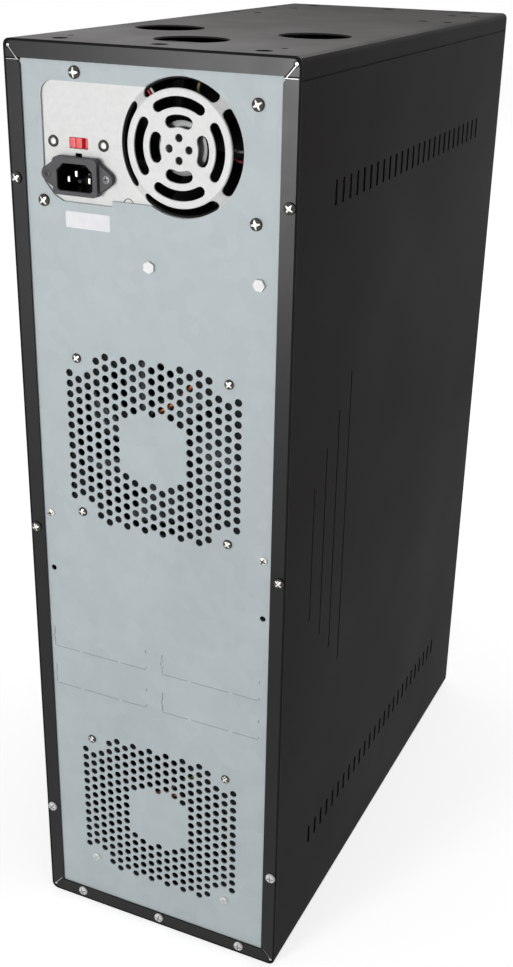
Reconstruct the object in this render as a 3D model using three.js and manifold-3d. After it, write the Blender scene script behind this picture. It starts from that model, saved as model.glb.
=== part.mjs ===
// A tower case that copies optical discs. A column of tray-loading drives with a control unit on top
// stands at the front, and the power supply, two case fans and spare port plates are at the rear.
// Lengths are millimetres. +Z is up, +Y is the rear, where the mains inlet is, and +X is the left side
// as seen from the rear. The origin is on the underside of the case, below its middle.
import * as THREE from "three";
import { mergeGeometries, mergeVertices } from "three/addons/utils/BufferGeometryUtils.js";
import Module from "manifold-3d";

const wasm = await Module();
wasm.setup();

// Driving sizes of the case
const caseWidth = 186;
const caseDepth = 412;
const caseHeight = 617;
const sheet = 1;
const seat = 0.3;
const overrun = 2;
const weld = 0.0001;
const bendSteps = 2;
const roundSteps = 24;
const holeSteps = 6;

const halfWidth = caseWidth / 2;
const rearFace = caseDepth / 2;
const frontFace = -rearFace;

// Solids from geometry

function solidOf(geometry) {
  const bare = geometry.clone();
  bare.deleteAttribute("normal");
  bare.deleteAttribute("uv");
  const merged = mergeVertices(bare, weld);
  const corners = merged.index.array;
  const kept = [];
  for (let i = 0; i < corners.length; i += 3) {
    const [a, b, c] = [corners[i], corners[i + 1], corners[i + 2]];
    if (a !== b && b !== c && c !== a) kept.push(a, b, c);
  }
  return new wasm.Manifold(
    new wasm.Mesh({
      numProp: 3,
      vertProperties: merged.attributes.position.array,
      triVerts: new Uint32Array(kept),
    }),
  );
}

function geometryOf(solid) {
  const mesh = solid.getMesh();
  const geometry = new THREE.BufferGeometry();
  geometry.setAttribute("position", new THREE.BufferAttribute(mesh.vertProperties, mesh.numProp));
  geometry.setIndex(new THREE.BufferAttribute(mesh.triVerts, 1));
  geometry.computeVertexNormals();
  return geometry;
}

const join = (first, ...others) => others.reduce((whole, piece) => whole.add(piece), first);
const cut = (first, ...tools) => tools.reduce((rest, tool) => rest.subtract(tool), first);

// The stretch of a given length about a middle, and a stretch made longer at both ends
const about = (middle, length) => [middle - length / 2, middle + length / 2];
const past = ([low, high], extra) => [low - extra, high + extra];

// A block between two places along each axis
function blockGeometry([x0, x1], [y0, y1], [z0, z1]) {
  const geometry = new THREE.BoxGeometry(x1 - x0, y1 - y0, z1 - z0);
  geometry.translate((x0 + x1) / 2, (y0 + y1) / 2, (z0 + z1) / 2);
  return geometry;
}

const block = (x, y, z) => solidOf(blockGeometry(x, y, z));

const extruded = (shape, depth, curveSegments) =>
  new THREE.ExtrudeGeometry(shape, { depth, curveSegments, bevelEnabled: false });

// A prism along Y of a shape drawn in X and Z
function prismAlongY(shape, [near, far], curveSegments = bendSteps) {
  const geometry = extruded(shape, far - near, curveSegments);
  geometry.rotateX(Math.PI / 2);
  geometry.translate(0, far, 0);
  return solidOf(geometry);
}

// A prism along X of a shape drawn in Y and Z
function prismAlongX(shape, [near, far], curveSegments = bendSteps) {
  const geometry = extruded(shape, far - near, curveSegments);
  const turn = new THREE.Matrix4().makeBasis(
    new THREE.Vector3(0, 1, 0),
    new THREE.Vector3(0, 0, 1),
    new THREE.Vector3(1, 0, 0),
  );
  geometry.applyMatrix4(turn);
  geometry.translate(near, 0, 0);
  return solidOf(geometry);
}

// Round bars along Y and along Z
function rodAlongY(x, z, radius, [near, far], sides = holeSteps) {
  const geometry = new THREE.CylinderGeometry(radius, radius, far - near, sides);
  geometry.translate(x, (near + far) / 2, z);
  return solidOf(geometry);
}

function rodAlongZ(x, y, radius, [low, high], sides = holeSteps) {
  const geometry = new THREE.CylinderGeometry(radius, radius, high - low, sides);
  geometry.rotateX(Math.PI / 2);
  geometry.translate(x, y, (low + high) / 2);
  return solidOf(geometry);
}

// A round tube along a smooth curve through points
function cable(points, radius, steps, sides) {
  const curve = new THREE.CatmullRomCurve3(points.map(([x, y, z]) => new THREE.Vector3(x, y, z)));
  const section = new THREE.Shape(ringOf(0, 0, radius, sides));
  return solidOf(new THREE.ExtrudeGeometry(section, { extrudePath: curve, steps, bevelEnabled: false }));
}

// The corners of a regular polygon
function ringOf(x, z, radius, sides) {
  return Array.from({ length: sides }, (_, i) => {
    const angle = (2 * Math.PI * i) / sides;
    return new THREE.Vector2(x + radius * Math.cos(angle), z + radius * Math.sin(angle));
  });
}

function outline(...points) {
  return new THREE.Shape(points.map(([a, b]) => new THREE.Vector2(a, b)));
}

// Points along an arc, both its ends among them
function arcPoints([x, z], radius, start, end, steps) {
  return Array.from({ length: steps + 1 }, (_, i) => {
    const angle = start + ((end - start) * i) / steps;
    return [x + radius * Math.cos(angle), z + radius * Math.sin(angle)];
  });
}

// A channel's section: a base at height zero with two legs, bent at the given outer radius
function channelShape(half, legTop, wall, bend) {
  const inner = Math.max(bend - wall, 0);
  const [left, down, right] = [Math.PI, 1.5 * Math.PI, 2 * Math.PI];
  const shape = new THREE.Shape();
  shape.moveTo(-half, legTop);
  shape.absarc(-half + bend, bend, bend, left, down, false);
  shape.absarc(half - bend, bend, bend, down, right, false);
  shape.lineTo(half, legTop);
  shape.lineTo(half - wall, legTop);
  if (inner > 0) {
    shape.absarc(half - bend, bend, inner, right, down, true);
    shape.absarc(-half + bend, bend, inner, down, left, true);
  } else {
    shape.lineTo(half - wall, wall);
    shape.lineTo(-half + wall, wall);
  }
  shape.lineTo(-half + wall, legTop);
  return shape;
}

// A channel's section with sharp corners: a base of sheet at one height with legs to another
function channelProfile([near, far], base, legEnd) {
  const inside = base + Math.sign(legEnd - base) * sheet;
  return outline(
    [near, base],
    [far, base],
    [far, legEnd],
    [far - sheet, legEnd],
    [far - sheet, inside],
    [near + sheet, inside],
    [near + sheet, legEnd],
    [near, legEnd],
  );
}

// A flat plate's outline with round corners, of one radius below and another above
function plateShape(half, low, high, lowBend, highBend) {
  const quarter = Math.PI / 2;
  const shape = new THREE.Shape();
  shape.moveTo(-half, high - highBend);
  shape.absarc(-half + lowBend, low + lowBend, lowBend, 2 * quarter, 3 * quarter, false);
  shape.absarc(half - lowBend, low + lowBend, lowBend, 3 * quarter, 4 * quarter, false);
  shape.absarc(half - highBend, high - highBend, highBend, 0, quarter, false);
  shape.absarc(-half + highBend, high - highBend, highBend, quarter, 2 * quarter, false);
  return shape;
}

// The group and its finishes
const tower = new THREE.Group();

const finishes = {
  blackPowder: [0x272726, 0.55, 0.3],
  coverPowder: [0x2c2b2a, 0.5, 0.3],
  zincSteel: [0xaab4b8, 0.45, 0.7],
  brightSteel: [0xd8dbda, 0.35, 0.8],
  drivePlastic: [0x1b1b1c, 0.5, 0],
  driveCase: [0xb4b7b8, 0.4, 0.8],
  trayPlastic: [0x242425, 0.45, 0],
  fanPlastic: [0x1d1d1f, 0.6, 0],
  inletPlastic: [0x202123, 0.5, 0],
  redPlastic: [0xd8323a, 0.4, 0],
  circuitBoard: [0x1e5a38, 0.5, 0.1],
  cableSleeve: [0x8a5a26, 0.7, 0],
};

function place(name, geometry, finish, parent = tower) {
  const [color, roughness, metalness] = finishes[finish];
  const mesh = new THREE.Mesh(geometry, new THREE.MeshStandardMaterial({ color, roughness, metalness }));
  mesh.name = name;
  parent.add(mesh);
  return mesh;
}

// Shell and top cover
// The sides and the base are one bent sheet. The cover closes the top, and both have a flange turned in
// round the front and the rear.
const flangeWidth = 10.5;
const shellBend = 5;
const coverBend = 4;
const coverSkirt = 11.6;
const coverSeam = 1.2;
const shellTop = caseHeight - coverSkirt - coverSeam;

// Rows of upright slots in both sides, measured from the rear edge, and four pressed lines
const ventCount = 26;
const ventFirst = 57;
const ventPitch = 11.64;
const ventWidth = 3.4;
const ventHeight = 15;
const ventFromBase = 74.8;
const ventFromTop = 79.5;
const ventRows = [ventFromBase, caseHeight - ventFromTop];
const grooveWidth = 2;
const grooveDepth = 0.5;
const grooveFirst = 41;
const groovePitch = 19;
const grooveShortest = 95;
const grooveGrowth = 40.3;
const grooveMiddle = caseHeight / 2;
const grooveCount = 4;

function flanges(shape, depths) {
  return depths.map((depth) => prismAlongY(shape, depth));
}

const flangeDepths = [
  [frontFace, frontFace + sheet],
  [rearFace - sheet, rearFace],
];

function outerShell() {
  const wall = prismAlongY(channelShape(halfWidth, shellTop, sheet, shellBend), [frontFace, rearFace]);
  const rims = flanges(channelShape(halfWidth, shellTop, flangeWidth, shellBend), flangeDepths);
  const tools = [];
  for (const height of ventRows) {
    const upright = about(height, ventHeight);
    for (let i = 0; i < ventCount; i += 1) {
      const across = about(rearFace - ventFirst - i * ventPitch, ventWidth);
      tools.push(block(past([-halfWidth, halfWidth], overrun), across, upright));
    }
  }
  for (let i = 0; i < grooveCount; i += 1) {
    const across = about(rearFace - grooveFirst - i * groovePitch, grooveWidth);
    const upright = about(grooveMiddle, grooveShortest + i * grooveGrowth);
    tools.push(block([halfWidth - grooveDepth, halfWidth + overrun], across, upright));
    tools.push(block([-halfWidth - overrun, -halfWidth + grooveDepth], across, upright));
  }
  return cut(join(wall, ...rims), ...tools);
}

place("outer_shell", geometryOf(outerShell()), "blackPowder");

// Holes in the top: three large ones over the power supply, and eight small ones ahead of it
const topHoleRadius = 22.5;
const topHoleSide = 50;
const topHolePairBack = 121;
const topHoleRearBack = 55;
const topStudRadius = 3.5;
const topStudInner = 65;
const topStudOuter = 83;
const topStudBacks = [286, 355];
const topHoleSteps = 20;

function topCover() {
  const legs = channelShape(halfWidth, coverSkirt, sheet, coverBend);
  const rim = channelShape(halfWidth, coverSkirt, flangeWidth, coverBend);
  const tray = join(prismAlongY(legs, [frontFace, rearFace]), ...flanges(rim, flangeDepths));
  const upright = [-overrun, coverBend];
  const holes = [
    rodAlongZ(topHoleSide, rearFace - topHolePairBack, topHoleRadius, upright, topHoleSteps),
    rodAlongZ(-topHoleSide, rearFace - topHolePairBack, topHoleRadius, upright, topHoleSteps),
    rodAlongZ(0, rearFace - topHoleRearBack, topHoleRadius, upright, topHoleSteps),
  ];
  for (const back of topStudBacks) {
    for (const side of [topStudInner, topStudOuter]) {
      holes.push(rodAlongZ(side, rearFace - back, topStudRadius, upright));
      holes.push(rodAlongZ(-side, rearFace - back, topStudRadius, upright));
    }
  }
  return cut(tray, ...holes);
}

// The cover is drawn with its legs up and turned over onto the case
const coverGeometry = geometryOf(topCover());
coverGeometry.rotateY(Math.PI);
const cover = place("top_cover", coverGeometry, "coverPowder");
cover.position.z = caseHeight;

// Power supply
// Its rear face fills a window in the rear panel.
const psuWidth = 150;
const psuHeight = 86;
const psuDepth = 140;
const psuOffCentre = 1;
const psuFromTop = 10;
const panelOuter = rearFace - sheet - seat;
const panelInner = panelOuter - sheet;
const psuFace = panelInner - seat;
const psuX = about(psuOffCentre, psuWidth);
const psuY = [psuFace - psuDepth, psuFace];
const psuZ = [caseHeight - psuFromTop - psuHeight, caseHeight - psuFromTop];
const psuInnerX = [psuX[0] + sheet + seat, psuX[1] - sheet - seat];
const psuSkinY = [psuFace - sheet, psuFace];

// The stamped fan guard in the power supply's rear face: a disc that stands out on four ramps, with four
// small holes and three rings of four slots. The outer slots lie between the ramps.
const guardFromSide = 52.8;
const guardFromTop = 43;
const guardX = psuX[0] + guardFromSide;
const guardZ = psuZ[1] - guardFromTop;
const guardDiscRadius = 32.8;
const guardFootRadius = 38.3;
const guardLift = 3.9;
const guardY = [psuSkinY[0], psuFace + guardLift];
const guardRings = [
  { inner: 12, outer: 18.7, halfShare: 0.7 },
  { inner: 22.7, outer: 28.5, halfShare: 0.82 },
  { inner: guardDiscRadius, outer: guardFootRadius + seat, halfShare: 0.87 },
];
const guardHoleRadius = 2.25;
const guardHoleOut = 6.2;
const guardSteps = 3;
const guardSides = 4;
const quarterTurn = Math.PI / 2;

function guardSlot({ inner, outer, halfShare }, middleAngle) {
  const half = (quarterTurn / 2) * halfShare;
  const shape = new THREE.Shape();
  shape.absarc(guardX, guardZ, outer, middleAngle - half, middleAngle + half, false);
  shape.absarc(guardX, guardZ, inner, middleAngle + half, middleAngle - half, true);
  return prismAlongY(shape, past(guardY, overrun), guardSteps);
}

// The cone of the ramps up to the disc, at its own height or sunk by the sheet to hollow it
function guardCone(sunk) {
  const [low, high] = guardY.map((y) => y - sunk);
  const slope = (guardFootRadius - guardDiscRadius) / guardLift;
  const footRadius = guardDiscRadius + slope * (high - low);
  const geometry = new THREE.CylinderGeometry(guardDiscRadius, footRadius, high - low, 2 * roundSteps);
  geometry.translate(guardX, (low + high) / 2, guardZ);
  return solidOf(geometry);
}

// The mains inlet and the voltage selector sit side by side with the guard
const inletFromSide = 29.6;
const inletFromTop = 64.2;
const inletX = psuX[1] - inletFromSide;
const inletZ = psuZ[1] - inletFromTop;
const inletWidth = 30.2;
const inletHeight = 21.9;
const inletCut = 2.4;
const inletEarRadius = 4.2;
const inletEarThick = 3.3;
const inletRim = 2.2;
const inletBodyDepth = 18;
const inletBodyWidth = 26;
const inletBodyHeight = 19;
const inletScrewSpan = 40;
const inletScrewRadius = 1.6;
const inletNotchWidth = 4.4;
const inletNotchRise = 12.8;
const socketWidth = 24.2;
const socketHeight = 16.3;
const socketDrop = 0.45;
const socketChamfer = 4.3;
const socketDepth = 21;
const pinWidth = 2;
const pinHeight = 4;
const pinLength = 16;
const earthPinLength = 18.8;
const pinSide = 7;
const pinLift = 2;

const selectorFromSide = 29.9;
const selectorFromTop = 45.7;
const selectorX = psuX[1] - selectorFromSide;
const selectorZ = psuZ[1] - selectorFromTop;
const sliderWidth = 8;
const sliderTravel = 4;
const selectorWidth = sliderWidth + sliderTravel + 2 * seat;
const selectorHeight = 6.5;
const selectorBodyWidth = 20;
const selectorBodyHeight = 11;
const selectorBodyDepth = 8;
const selectorChannel = 1.6;

const psuVentCount = 6;
const psuVentPitch = 18;
const psuVentWidth = 5;
const psuVentShare = 0.6;

function psuCase() {
  const innerTop = psuZ[1] - sheet - seat;
  const bent = prismAlongX(channelProfile(psuY, psuZ[0], innerTop), psuInnerX);
  const through = past(psuSkinY, overrun);
  const tools = [
    guardCone(sheet),
    block(about(inletX, inletBodyWidth + 2 * seat), through, about(inletZ, inletBodyHeight + 2 * seat)),
    block(about(inletX, inletNotchWidth), through, [inletZ, inletZ + inletNotchRise]),
    block(about(selectorX, selectorWidth), through, about(selectorZ, selectorHeight)),
  ];
  for (let side = 0; side < guardSides; side += 1) {
    const angle = side * quarterTurn;
    tools.push(...guardRings.map((ring) => guardSlot(ring, angle)));
    const x = guardX + guardHoleOut * Math.cos(angle);
    const z = guardZ + guardHoleOut * Math.sin(angle);
    tools.push(rodAlongY(x, z, guardHoleRadius, past(guardY, overrun)));
  }
  const ventFirstX = psuOffCentre - ((psuVentCount - 1) * psuVentPitch) / 2;
  for (let i = 0; i < psuVentCount; i += 1) {
    const across = about(ventFirstX + i * psuVentPitch, psuVentWidth);
    const upright = about((psuZ[0] + psuZ[1]) / 2, psuHeight * psuVentShare);
    tools.push(block(across, past([psuY[0], psuY[0] + sheet], overrun), upright));
  }
  return cut(join(bent, guardCone(0)), ...tools);
}

const psuCover = () => prismAlongY(channelProfile(psuX, psuZ[1], psuZ[0]), psuY);

place("psu_case", geometryOf(psuCase()), "brightSteel");
place("psu_cover", geometryOf(psuCover()), "brightSteel");

// The power supply's board stands on four posts and carries a transformer, two heat sinks and capacitors
const boardThick = 1.6;
const postHeight = 6;
const postRadius = 3;
const psuBoardMargin = 6;
const psuFanRoom = 30;
const transformerSize = [36, 30, 30];
const heatSinkSize = [6, 80, 45];
const heatSinkShift = 34;
const capacitorRadius = 11;
const capacitorHeight = 34;
const capacitorShift = 52;

function psuBoard() {
  const x = past(psuInnerX, -psuBoardMargin);
  const y = [psuY[0] + psuBoardMargin, psuY[1] - psuFanRoom];
  const floor = psuZ[0] + sheet + seat;
  const base = floor + postHeight;
  const top = base + boardThick;
  const middleX = (x[0] + x[1]) / 2;
  const middleY = (y[0] + y[1]) / 2;
  const parts = [block(x, y, [base, top])];
  for (const postX of past(x, -psuBoardMargin)) {
    for (const postY of past(y, -psuBoardMargin)) {
      parts.push(rodAlongZ(postX, postY, postRadius, [floor, top - boardThick / 2]));
    }
  }
  const rooted = top - boardThick / 2;
  const [sizeX, sizeY, sizeZ] = transformerSize;
  parts.push(block(about(middleX, sizeX), about(middleY, sizeY), [rooted, top + sizeZ]));
  for (const side of [-heatSinkShift, heatSinkShift]) {
    const [sinkX, sinkY, sinkZ] = heatSinkSize;
    parts.push(block(about(middleX + side, sinkX), about(middleY, sinkY), [rooted, top + sinkZ]));
  }
  const upright = [rooted, top + capacitorHeight];
  for (const side of [-capacitorShift, capacitorShift]) {
    parts.push(rodAlongZ(middleX + side, middleY, capacitorRadius, upright, 2 * holeSteps));
  }
  return join(...parts);
}

place("psu_board", geometryOf(psuBoard()), "circuitBoard");

// Mains inlet: a flange with two round ears, a raised rim, and three blades in a recess
const inletBase = psuFace + seat;
const inletFront = inletBase + inletEarThick + inletRim;
const earSteps = 6;

// One side of the inlet's outline, from below to above on the left and back down on the right. The ear is
// round its screw, and its edges run straight from there to the cut corners of the rim.
function inletSide(side, withEar) {
  const [halfX, halfZ, screwX] = [inletWidth / 2, inletHeight / 2, inletScrewSpan / 2];
  const cutZ = halfZ - inletCut;
  const reach = Math.hypot(screwX - halfX, cutZ);
  const turn = Math.atan2(cutZ, halfX - screwX) - Math.acos(inletEarRadius / reach);
  const tip = arcPoints([screwX, 0], inletEarRadius, -turn, turn, earSteps);
  const points = [
    [halfX - inletCut, -halfZ],
    [halfX, -cutZ],
    ...(withEar ? tip : []),
    [halfX, cutZ],
    [halfX - inletCut, halfZ],
  ];
  return points.map(([x, z]) => [inletX + side * x, inletZ + side * z]);
}

const inletOutline = (withEars) => outline(...[1, -1].flatMap((side) => inletSide(side, withEars)));

function powerInlet() {
  const flange = prismAlongY(inletOutline(true), [inletBase, inletBase + inletEarThick]);
  const rim = prismAlongY(inletOutline(false), [inletBase, inletFront]);
  const body = block(
    about(inletX, inletBodyWidth),
    [inletBase - inletBodyDepth, inletFront - inletRim],
    about(inletZ, inletBodyHeight),
  );
  const [halfX, halfZ] = [socketWidth / 2, socketHeight / 2];
  const socketZ = inletZ - socketDrop;
  const mouth = outline(
    [inletX - halfX, socketZ - halfZ],
    [inletX + halfX, socketZ - halfZ],
    [inletX + halfX, socketZ + halfZ - socketChamfer],
    [inletX + halfX - socketChamfer, socketZ + halfZ],
    [inletX - halfX + socketChamfer, socketZ + halfZ],
    [inletX - halfX, socketZ + halfZ - socketChamfer],
  );
  const floor = inletFront - socketDepth;
  const socket = prismAlongY(mouth, [floor, inletFront + overrun]);
  const screws = about(inletX, inletScrewSpan).map((x) =>
    rodAlongY(x, inletZ, inletScrewRadius, past([inletBase, inletFront], overrun)),
  );
  const pins = [
    [inletX, socketZ + pinLift, earthPinLength],
    [inletX - pinSide, socketZ - pinLift, pinLength],
    [inletX + pinSide, socketZ - pinLift, pinLength],
  ].map(([x, z, length]) => block(about(x, pinWidth), [floor - sheet, floor + length], about(z, pinHeight)));
  return join(cut(join(flange, rim, body), socket, ...screws), ...pins);
}

place("power_inlet", geometryOf(powerInlet()), "inletPlastic");

// Voltage selector: a body behind the power supply's face, and a slider in its channel
const selectorFront = psuSkinY[0] - seat;
const selectorFloor = selectorFront - selectorChannel;

function voltageSelector() {
  const body = block(
    about(selectorX, selectorBodyWidth),
    [selectorFront - selectorBodyDepth, selectorFront],
    about(selectorZ, selectorBodyHeight),
  );
  const channel = block(
    about(selectorX, selectorWidth),
    [selectorFloor, selectorFront + overrun],
    about(selectorZ, selectorHeight),
  );
  return cut(body, channel);
}

function voltageSlider() {
  const start = selectorX + selectorWidth / 2 - seat;
  return block(
    [start - sliderWidth, start],
    [selectorFloor + seat, psuFace],
    about(selectorZ, selectorHeight - 2 * seat),
  );
}

place("voltage_selector", geometryOf(voltageSelector()), "redPlastic");
place("voltage_slider", geometryOf(voltageSlider()), "redPlastic");

// Fans
// Each is drawn about its own axis along Y, with the face that seats on its panel at zero.
const caseFan = {
  size: 120,
  depth: 25,
  boreRadius: 57,
  hubRadius: 20,
  screwSpan: 105,
  screwRadius: 2.2,
  bladeCount: 7,
};
const psuFan = {
  size: 80,
  depth: 25,
  boreRadius: 37.5,
  hubRadius: 15,
  screwSpan: 71.5,
  screwRadius: 2.2,
  bladeCount: 7,
};
const strutWidth = 5;
const strutThick = 3;
const motorThick = 5;
const strutCount = 4;
const shaftRadius = 1.5;
const shaftLength = 8;
const hubFromFront = 1;
const bladeThick = 1.6;
const bladeFromBore = 1.5;
const bladePitch = Math.PI / 5;
const bladeChordShare = 1.15;

function fanFrame(fan) {
  const half = fan.size / 2;
  const square = outline([-half, -half], [half, -half], [half, half], [-half, half]);
  square.holes.push(new THREE.Path(ringOf(0, 0, fan.boreRadius, roundSteps)));
  for (const x of about(0, fan.screwSpan)) {
    for (const z of about(0, fan.screwSpan)) {
      square.holes.push(new THREE.Path(ringOf(x, z, fan.screwRadius, holeSteps)));
    }
  }
  const frame = prismAlongY(square, [-fan.depth, 0]);
  const motor = rodAlongY(0, 0, fan.hubRadius, [-motorThick, 0], roundSteps / 2);
  const shaft = rodAlongY(0, 0, shaftRadius, [-motorThick - shaftLength, -motorThick / 2]);
  const struts = Array.from({ length: strutCount }, (_, i) => {
    const arm = new THREE.BoxGeometry(fan.boreRadius, strutThick, strutWidth);
    arm.translate(fan.boreRadius / 2 + strutThick, -strutThick / 2, 0);
    arm.rotateY(Math.PI / strutCount + (2 * Math.PI * i) / strutCount);
    return solidOf(arm);
  });
  return join(frame, motor, shaft, ...struts);
}

function fanRotor(fan) {
  const back = -motorThick - seat;
  const front = -fan.depth + hubFromFront;
  const hub = rodAlongY(0, 0, fan.hubRadius, [front, back], roundSteps / 2);
  const bearing = rodAlongY(0, 0, shaftRadius + seat, [back - shaftLength - seat, back + overrun]);
  const tip = fan.boreRadius - bladeFromBore;
  const reach = tip - fan.hubRadius + bladeThick;
  const blades = Array.from({ length: fan.bladeCount }, (_, i) => {
    const blade = new THREE.BoxGeometry(reach, bladeThick, (back - front) * bladeChordShare);
    blade.rotateX(bladePitch);
    blade.translate(tip - reach / 2, (front + back) / 2, 0);
    blade.rotateY((2 * Math.PI * i) / fan.bladeCount);
    return solidOf(blade);
  });
  const swept = rodAlongY(0, 0, tip, past([front, back], overrun), roundSteps);
  return cut(join(hub, ...blades).intersect(swept), bearing);
}

function placeFan(name, fan, x, y, z) {
  const group = new THREE.Group();
  group.position.set(x, y, z);
  tower.add(group);
  place(`${name}_frame`, geometryOf(fanFrame(fan)), "fanPlastic", group);
  place(`${name}_rotor`, geometryOf(fanRotor(fan)), "fanPlastic", group);
}

// The lower fan is near the base. The upper one is between the port plates and the power supply.
const portWidth = 72;
const portHeight = 15.5;
const portMiddle = 1.5;
const portSpread = 84;
const portFromBase = 195;
const portPitch = 30.2;
const portX = about(portMiddle, portSpread);
const portZ = [portFromBase + portPitch, portFromBase];
const upperFanLift = 1.425;
const upperFanZ = (portZ[0] + portHeight / 2 + psuZ[0]) / 2 + upperFanLift;
const lowerFanZ = 95.3;
const caseFanY = panelInner - seat;
placeFan("upper_fan", caseFan, 0, caseFanY, upperFanZ);
placeFan("lower_fan", caseFan, 0, caseFanY, lowerFanZ);
placeFan("psu_fan", psuFan, guardX, psuSkinY[0] - seat, guardZ);

// Rear panel
// One plate with a top lip, the window for the power supply, two punched grilles and four port plates.
const panelHalf = halfWidth - sheet - seat;
const panelLow = sheet + seat;
const panelHigh = caseHeight - sheet - seat;
const lipDepth = 25;
const lipHalf = halfWidth - coverBend;
const panelLowBend = shellBend - sheet - seat;
const panelHighBend = coverBend - sheet - seat;

const grilleColumnPitch = 6.5;
const grilleHolePitch = 7;
const grilleColumns = 19;
const grilleHalfHeight = 56.1;
const grilleHubRadius = 24.25;
const grilleScrewClear = 10;
const grilleHoleDiameter = 5;
const grilleHoleSide = (grilleHoleDiameter * Math.sqrt(Math.PI)) / 2;

// Columns of square holes of a round hole's area, every second column half a pitch higher, left blank
// round the hub and round each fan screw
function grilleHoles(middleZ) {
  const depth = past([panelInner, panelOuter], overrun);
  const holes = [];
  const screw = caseFan.screwSpan / 2;
  const sideColumns = (grilleColumns - 1) / 2;
  const rows = Math.ceil(grilleHalfHeight / grilleHolePitch);
  for (let column = -sideColumns; column <= sideColumns; column += 1) {
    const shift = column % 2 === 0 ? grilleHolePitch / 2 : 0;
    const x = column * grilleColumnPitch;
    for (let row = -rows; row <= rows; row += 1) {
      const z = row * grilleHolePitch + shift;
      const clearOfHub = Math.hypot(x, z) > grilleHubRadius;
      const clearOfScrew = Math.hypot(Math.abs(x) - screw, Math.abs(z) - screw) > grilleScrewClear;
      if (Math.abs(z) <= grilleHalfHeight && clearOfHub && clearOfScrew) {
        holes.push(blockGeometry(about(x, grilleHoleSide), depth, about(middleZ + z, grilleHoleSide)));
      }
    }
  }
  return solidOf(mergeGeometries(holes));
}

// The window has one large round corner, a slant below the inlet's outer ear and a step in its foot
const windowFromGuard = 15;
const windowFromSide = 6;
const windowFromFoot = 6.1;
const windowFromTop = 11.5;
const windowX = [guardX + windowFromGuard, psuX[1] - windowFromSide];
const windowZ = [psuZ[0] + windowFromFoot, psuZ[1] - windowFromTop];
const windowRadius = 38.8;
const windowCorner = 8;
const windowCornerSteps = 5;
const windowStep = 3.3;
const windowStepFromInlet = 22.4;
const windowSlantLow = 12.5;
const windowSlantMiddle = 6.4;
const windowSlantRise = 11;
const windowEarGap = 1;
const slitWidth = 0.8;
const portTabX = 15.2;
const portTabWidth = 3;

const plateHoleRadius = 2;
const plateHoleX = 77.4;
const plateHoleZ = 279;

function portSlits(middleX, middleZ) {
  const depth = past([panelInner, panelOuter], overrun);
  const [left, right] = about(middleX, portWidth);
  const [low, high] = about(middleZ, portHeight);
  const innerTab = portTabX - portTabWidth / 2;
  const outerTab = portTabX + portTabWidth / 2;
  const foot = [low, low + slitWidth];
  return [
    block([left, left + slitWidth], depth, [low + slitWidth, high]),
    block([right - slitWidth, right], depth, [low + slitWidth, high]),
    block([left, middleX - outerTab], depth, foot),
    block([middleX - innerTab, middleX + innerTab], depth, foot),
    block([middleX + outerTab, right], depth, foot),
  ];
}

function windowShape() {
  const [near, far] = windowX;
  const [foot, top] = windowZ;
  const step = inletX - windowStepFromInlet;
  const corner = [far - windowCorner, top - windowCorner];
  return outline(
    [near, foot + windowStep],
    [step, foot + windowStep],
    [step, foot],
    [far - windowSlantLow, foot],
    [far - windowSlantMiddle, foot + windowStep],
    [far, foot + windowSlantRise],
    ...arcPoints(corner, windowCorner, 0, quarterTurn, windowCornerSteps),
    [near, top],
  );
}

function rearPanel() {
  const shape = plateShape(panelHalf, panelLow, panelHigh, panelLowBend, panelHighBend);
  const plate = prismAlongY(shape, [panelInner, panelOuter]);
  const lipY = [panelOuter - lipDepth, panelOuter];
  const lip = block([-lipHalf, lipHalf], lipY, [panelHigh - sheet, panelHigh]);
  const through = past([panelInner, panelOuter], overrun);
  const screwHoles = [upperFanZ, lowerFanZ].flatMap((middle) =>
    about(0, caseFan.screwSpan).flatMap((x) =>
      about(middle, caseFan.screwSpan).map((z) => rodAlongY(x, z, caseFan.screwRadius, through)),
    ),
  );
  const plateHoles = [-plateHoleX, plateHoleX].map((x) =>
    rodAlongY(x, plateHoleZ, plateHoleRadius, through),
  );
  const earRadius = inletEarRadius + windowEarGap;
  const window = join(
    prismAlongY(windowShape(), through),
    rodAlongY(guardX, guardZ, windowRadius, through, 2 * roundSteps),
    rodAlongY(inletX + inletScrewSpan / 2, inletZ, earRadius, through, roundSteps / 2),
  );
  const slits = portX.flatMap((x) => portZ.flatMap((z) => portSlits(x, z)));
  const grilles = [upperFanZ, lowerFanZ].map(grilleHoles);
  return cut(join(plate, lip), window, ...grilles, ...screwHoles, ...plateHoles, ...slits);
}

place("rear_panel", geometryOf(rearPanel()), "zincSteel");

// Drive bays
// As many bays of one height as fit above the lower panel, here eleven: ten drives, and the control unit
// in the top bay.
const bayPitch = 42.6;
const bayFirst = 131.5;
const bayRoomAbove = 16;
const bayCount = Math.floor((caseHeight - bayFirst - bayRoomAbove) / bayPitch);
const driveCount = bayCount - 1;
const driveWidth = 146;
const driveHeight = 41.3;
const driveDepth = 165;
const bezelWidth = 148;
const bezelGap = 1;
const bezelProud = 2;
const bezelFront = frontFace - bezelProud;
const bezelBack = frontFace + sheet + seat + sheet;
const bezelHeight = bayPitch - bezelGap;
const bayTop = bayFirst + bayCount * bayPitch;
const bayZ = (index) => bayFirst + index * bayPitch;
const bezelSpan = (base) => about(base + driveHeight / 2, bezelHeight);

// The tray runs on a deck inside the drive's case and leaves through a slot in the bezel
const trayDoorWidth = 130;
const trayDoorHeight = 12.6;
const trayDoorThick = 3;
const trayWidth = 126;
const trayLength = 150;
const trayThick = 9;
const trayBase = 22.6;
const discRadius = 60.5;
const discDepth = 3.2;
const discFromFront = 66;
const spindleSlotWidth = 36;
const spindleSlotAhead = 18;
const deckThick = 1.6;
const deckBackGap = 10;
const discSteps = 20;

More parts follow.
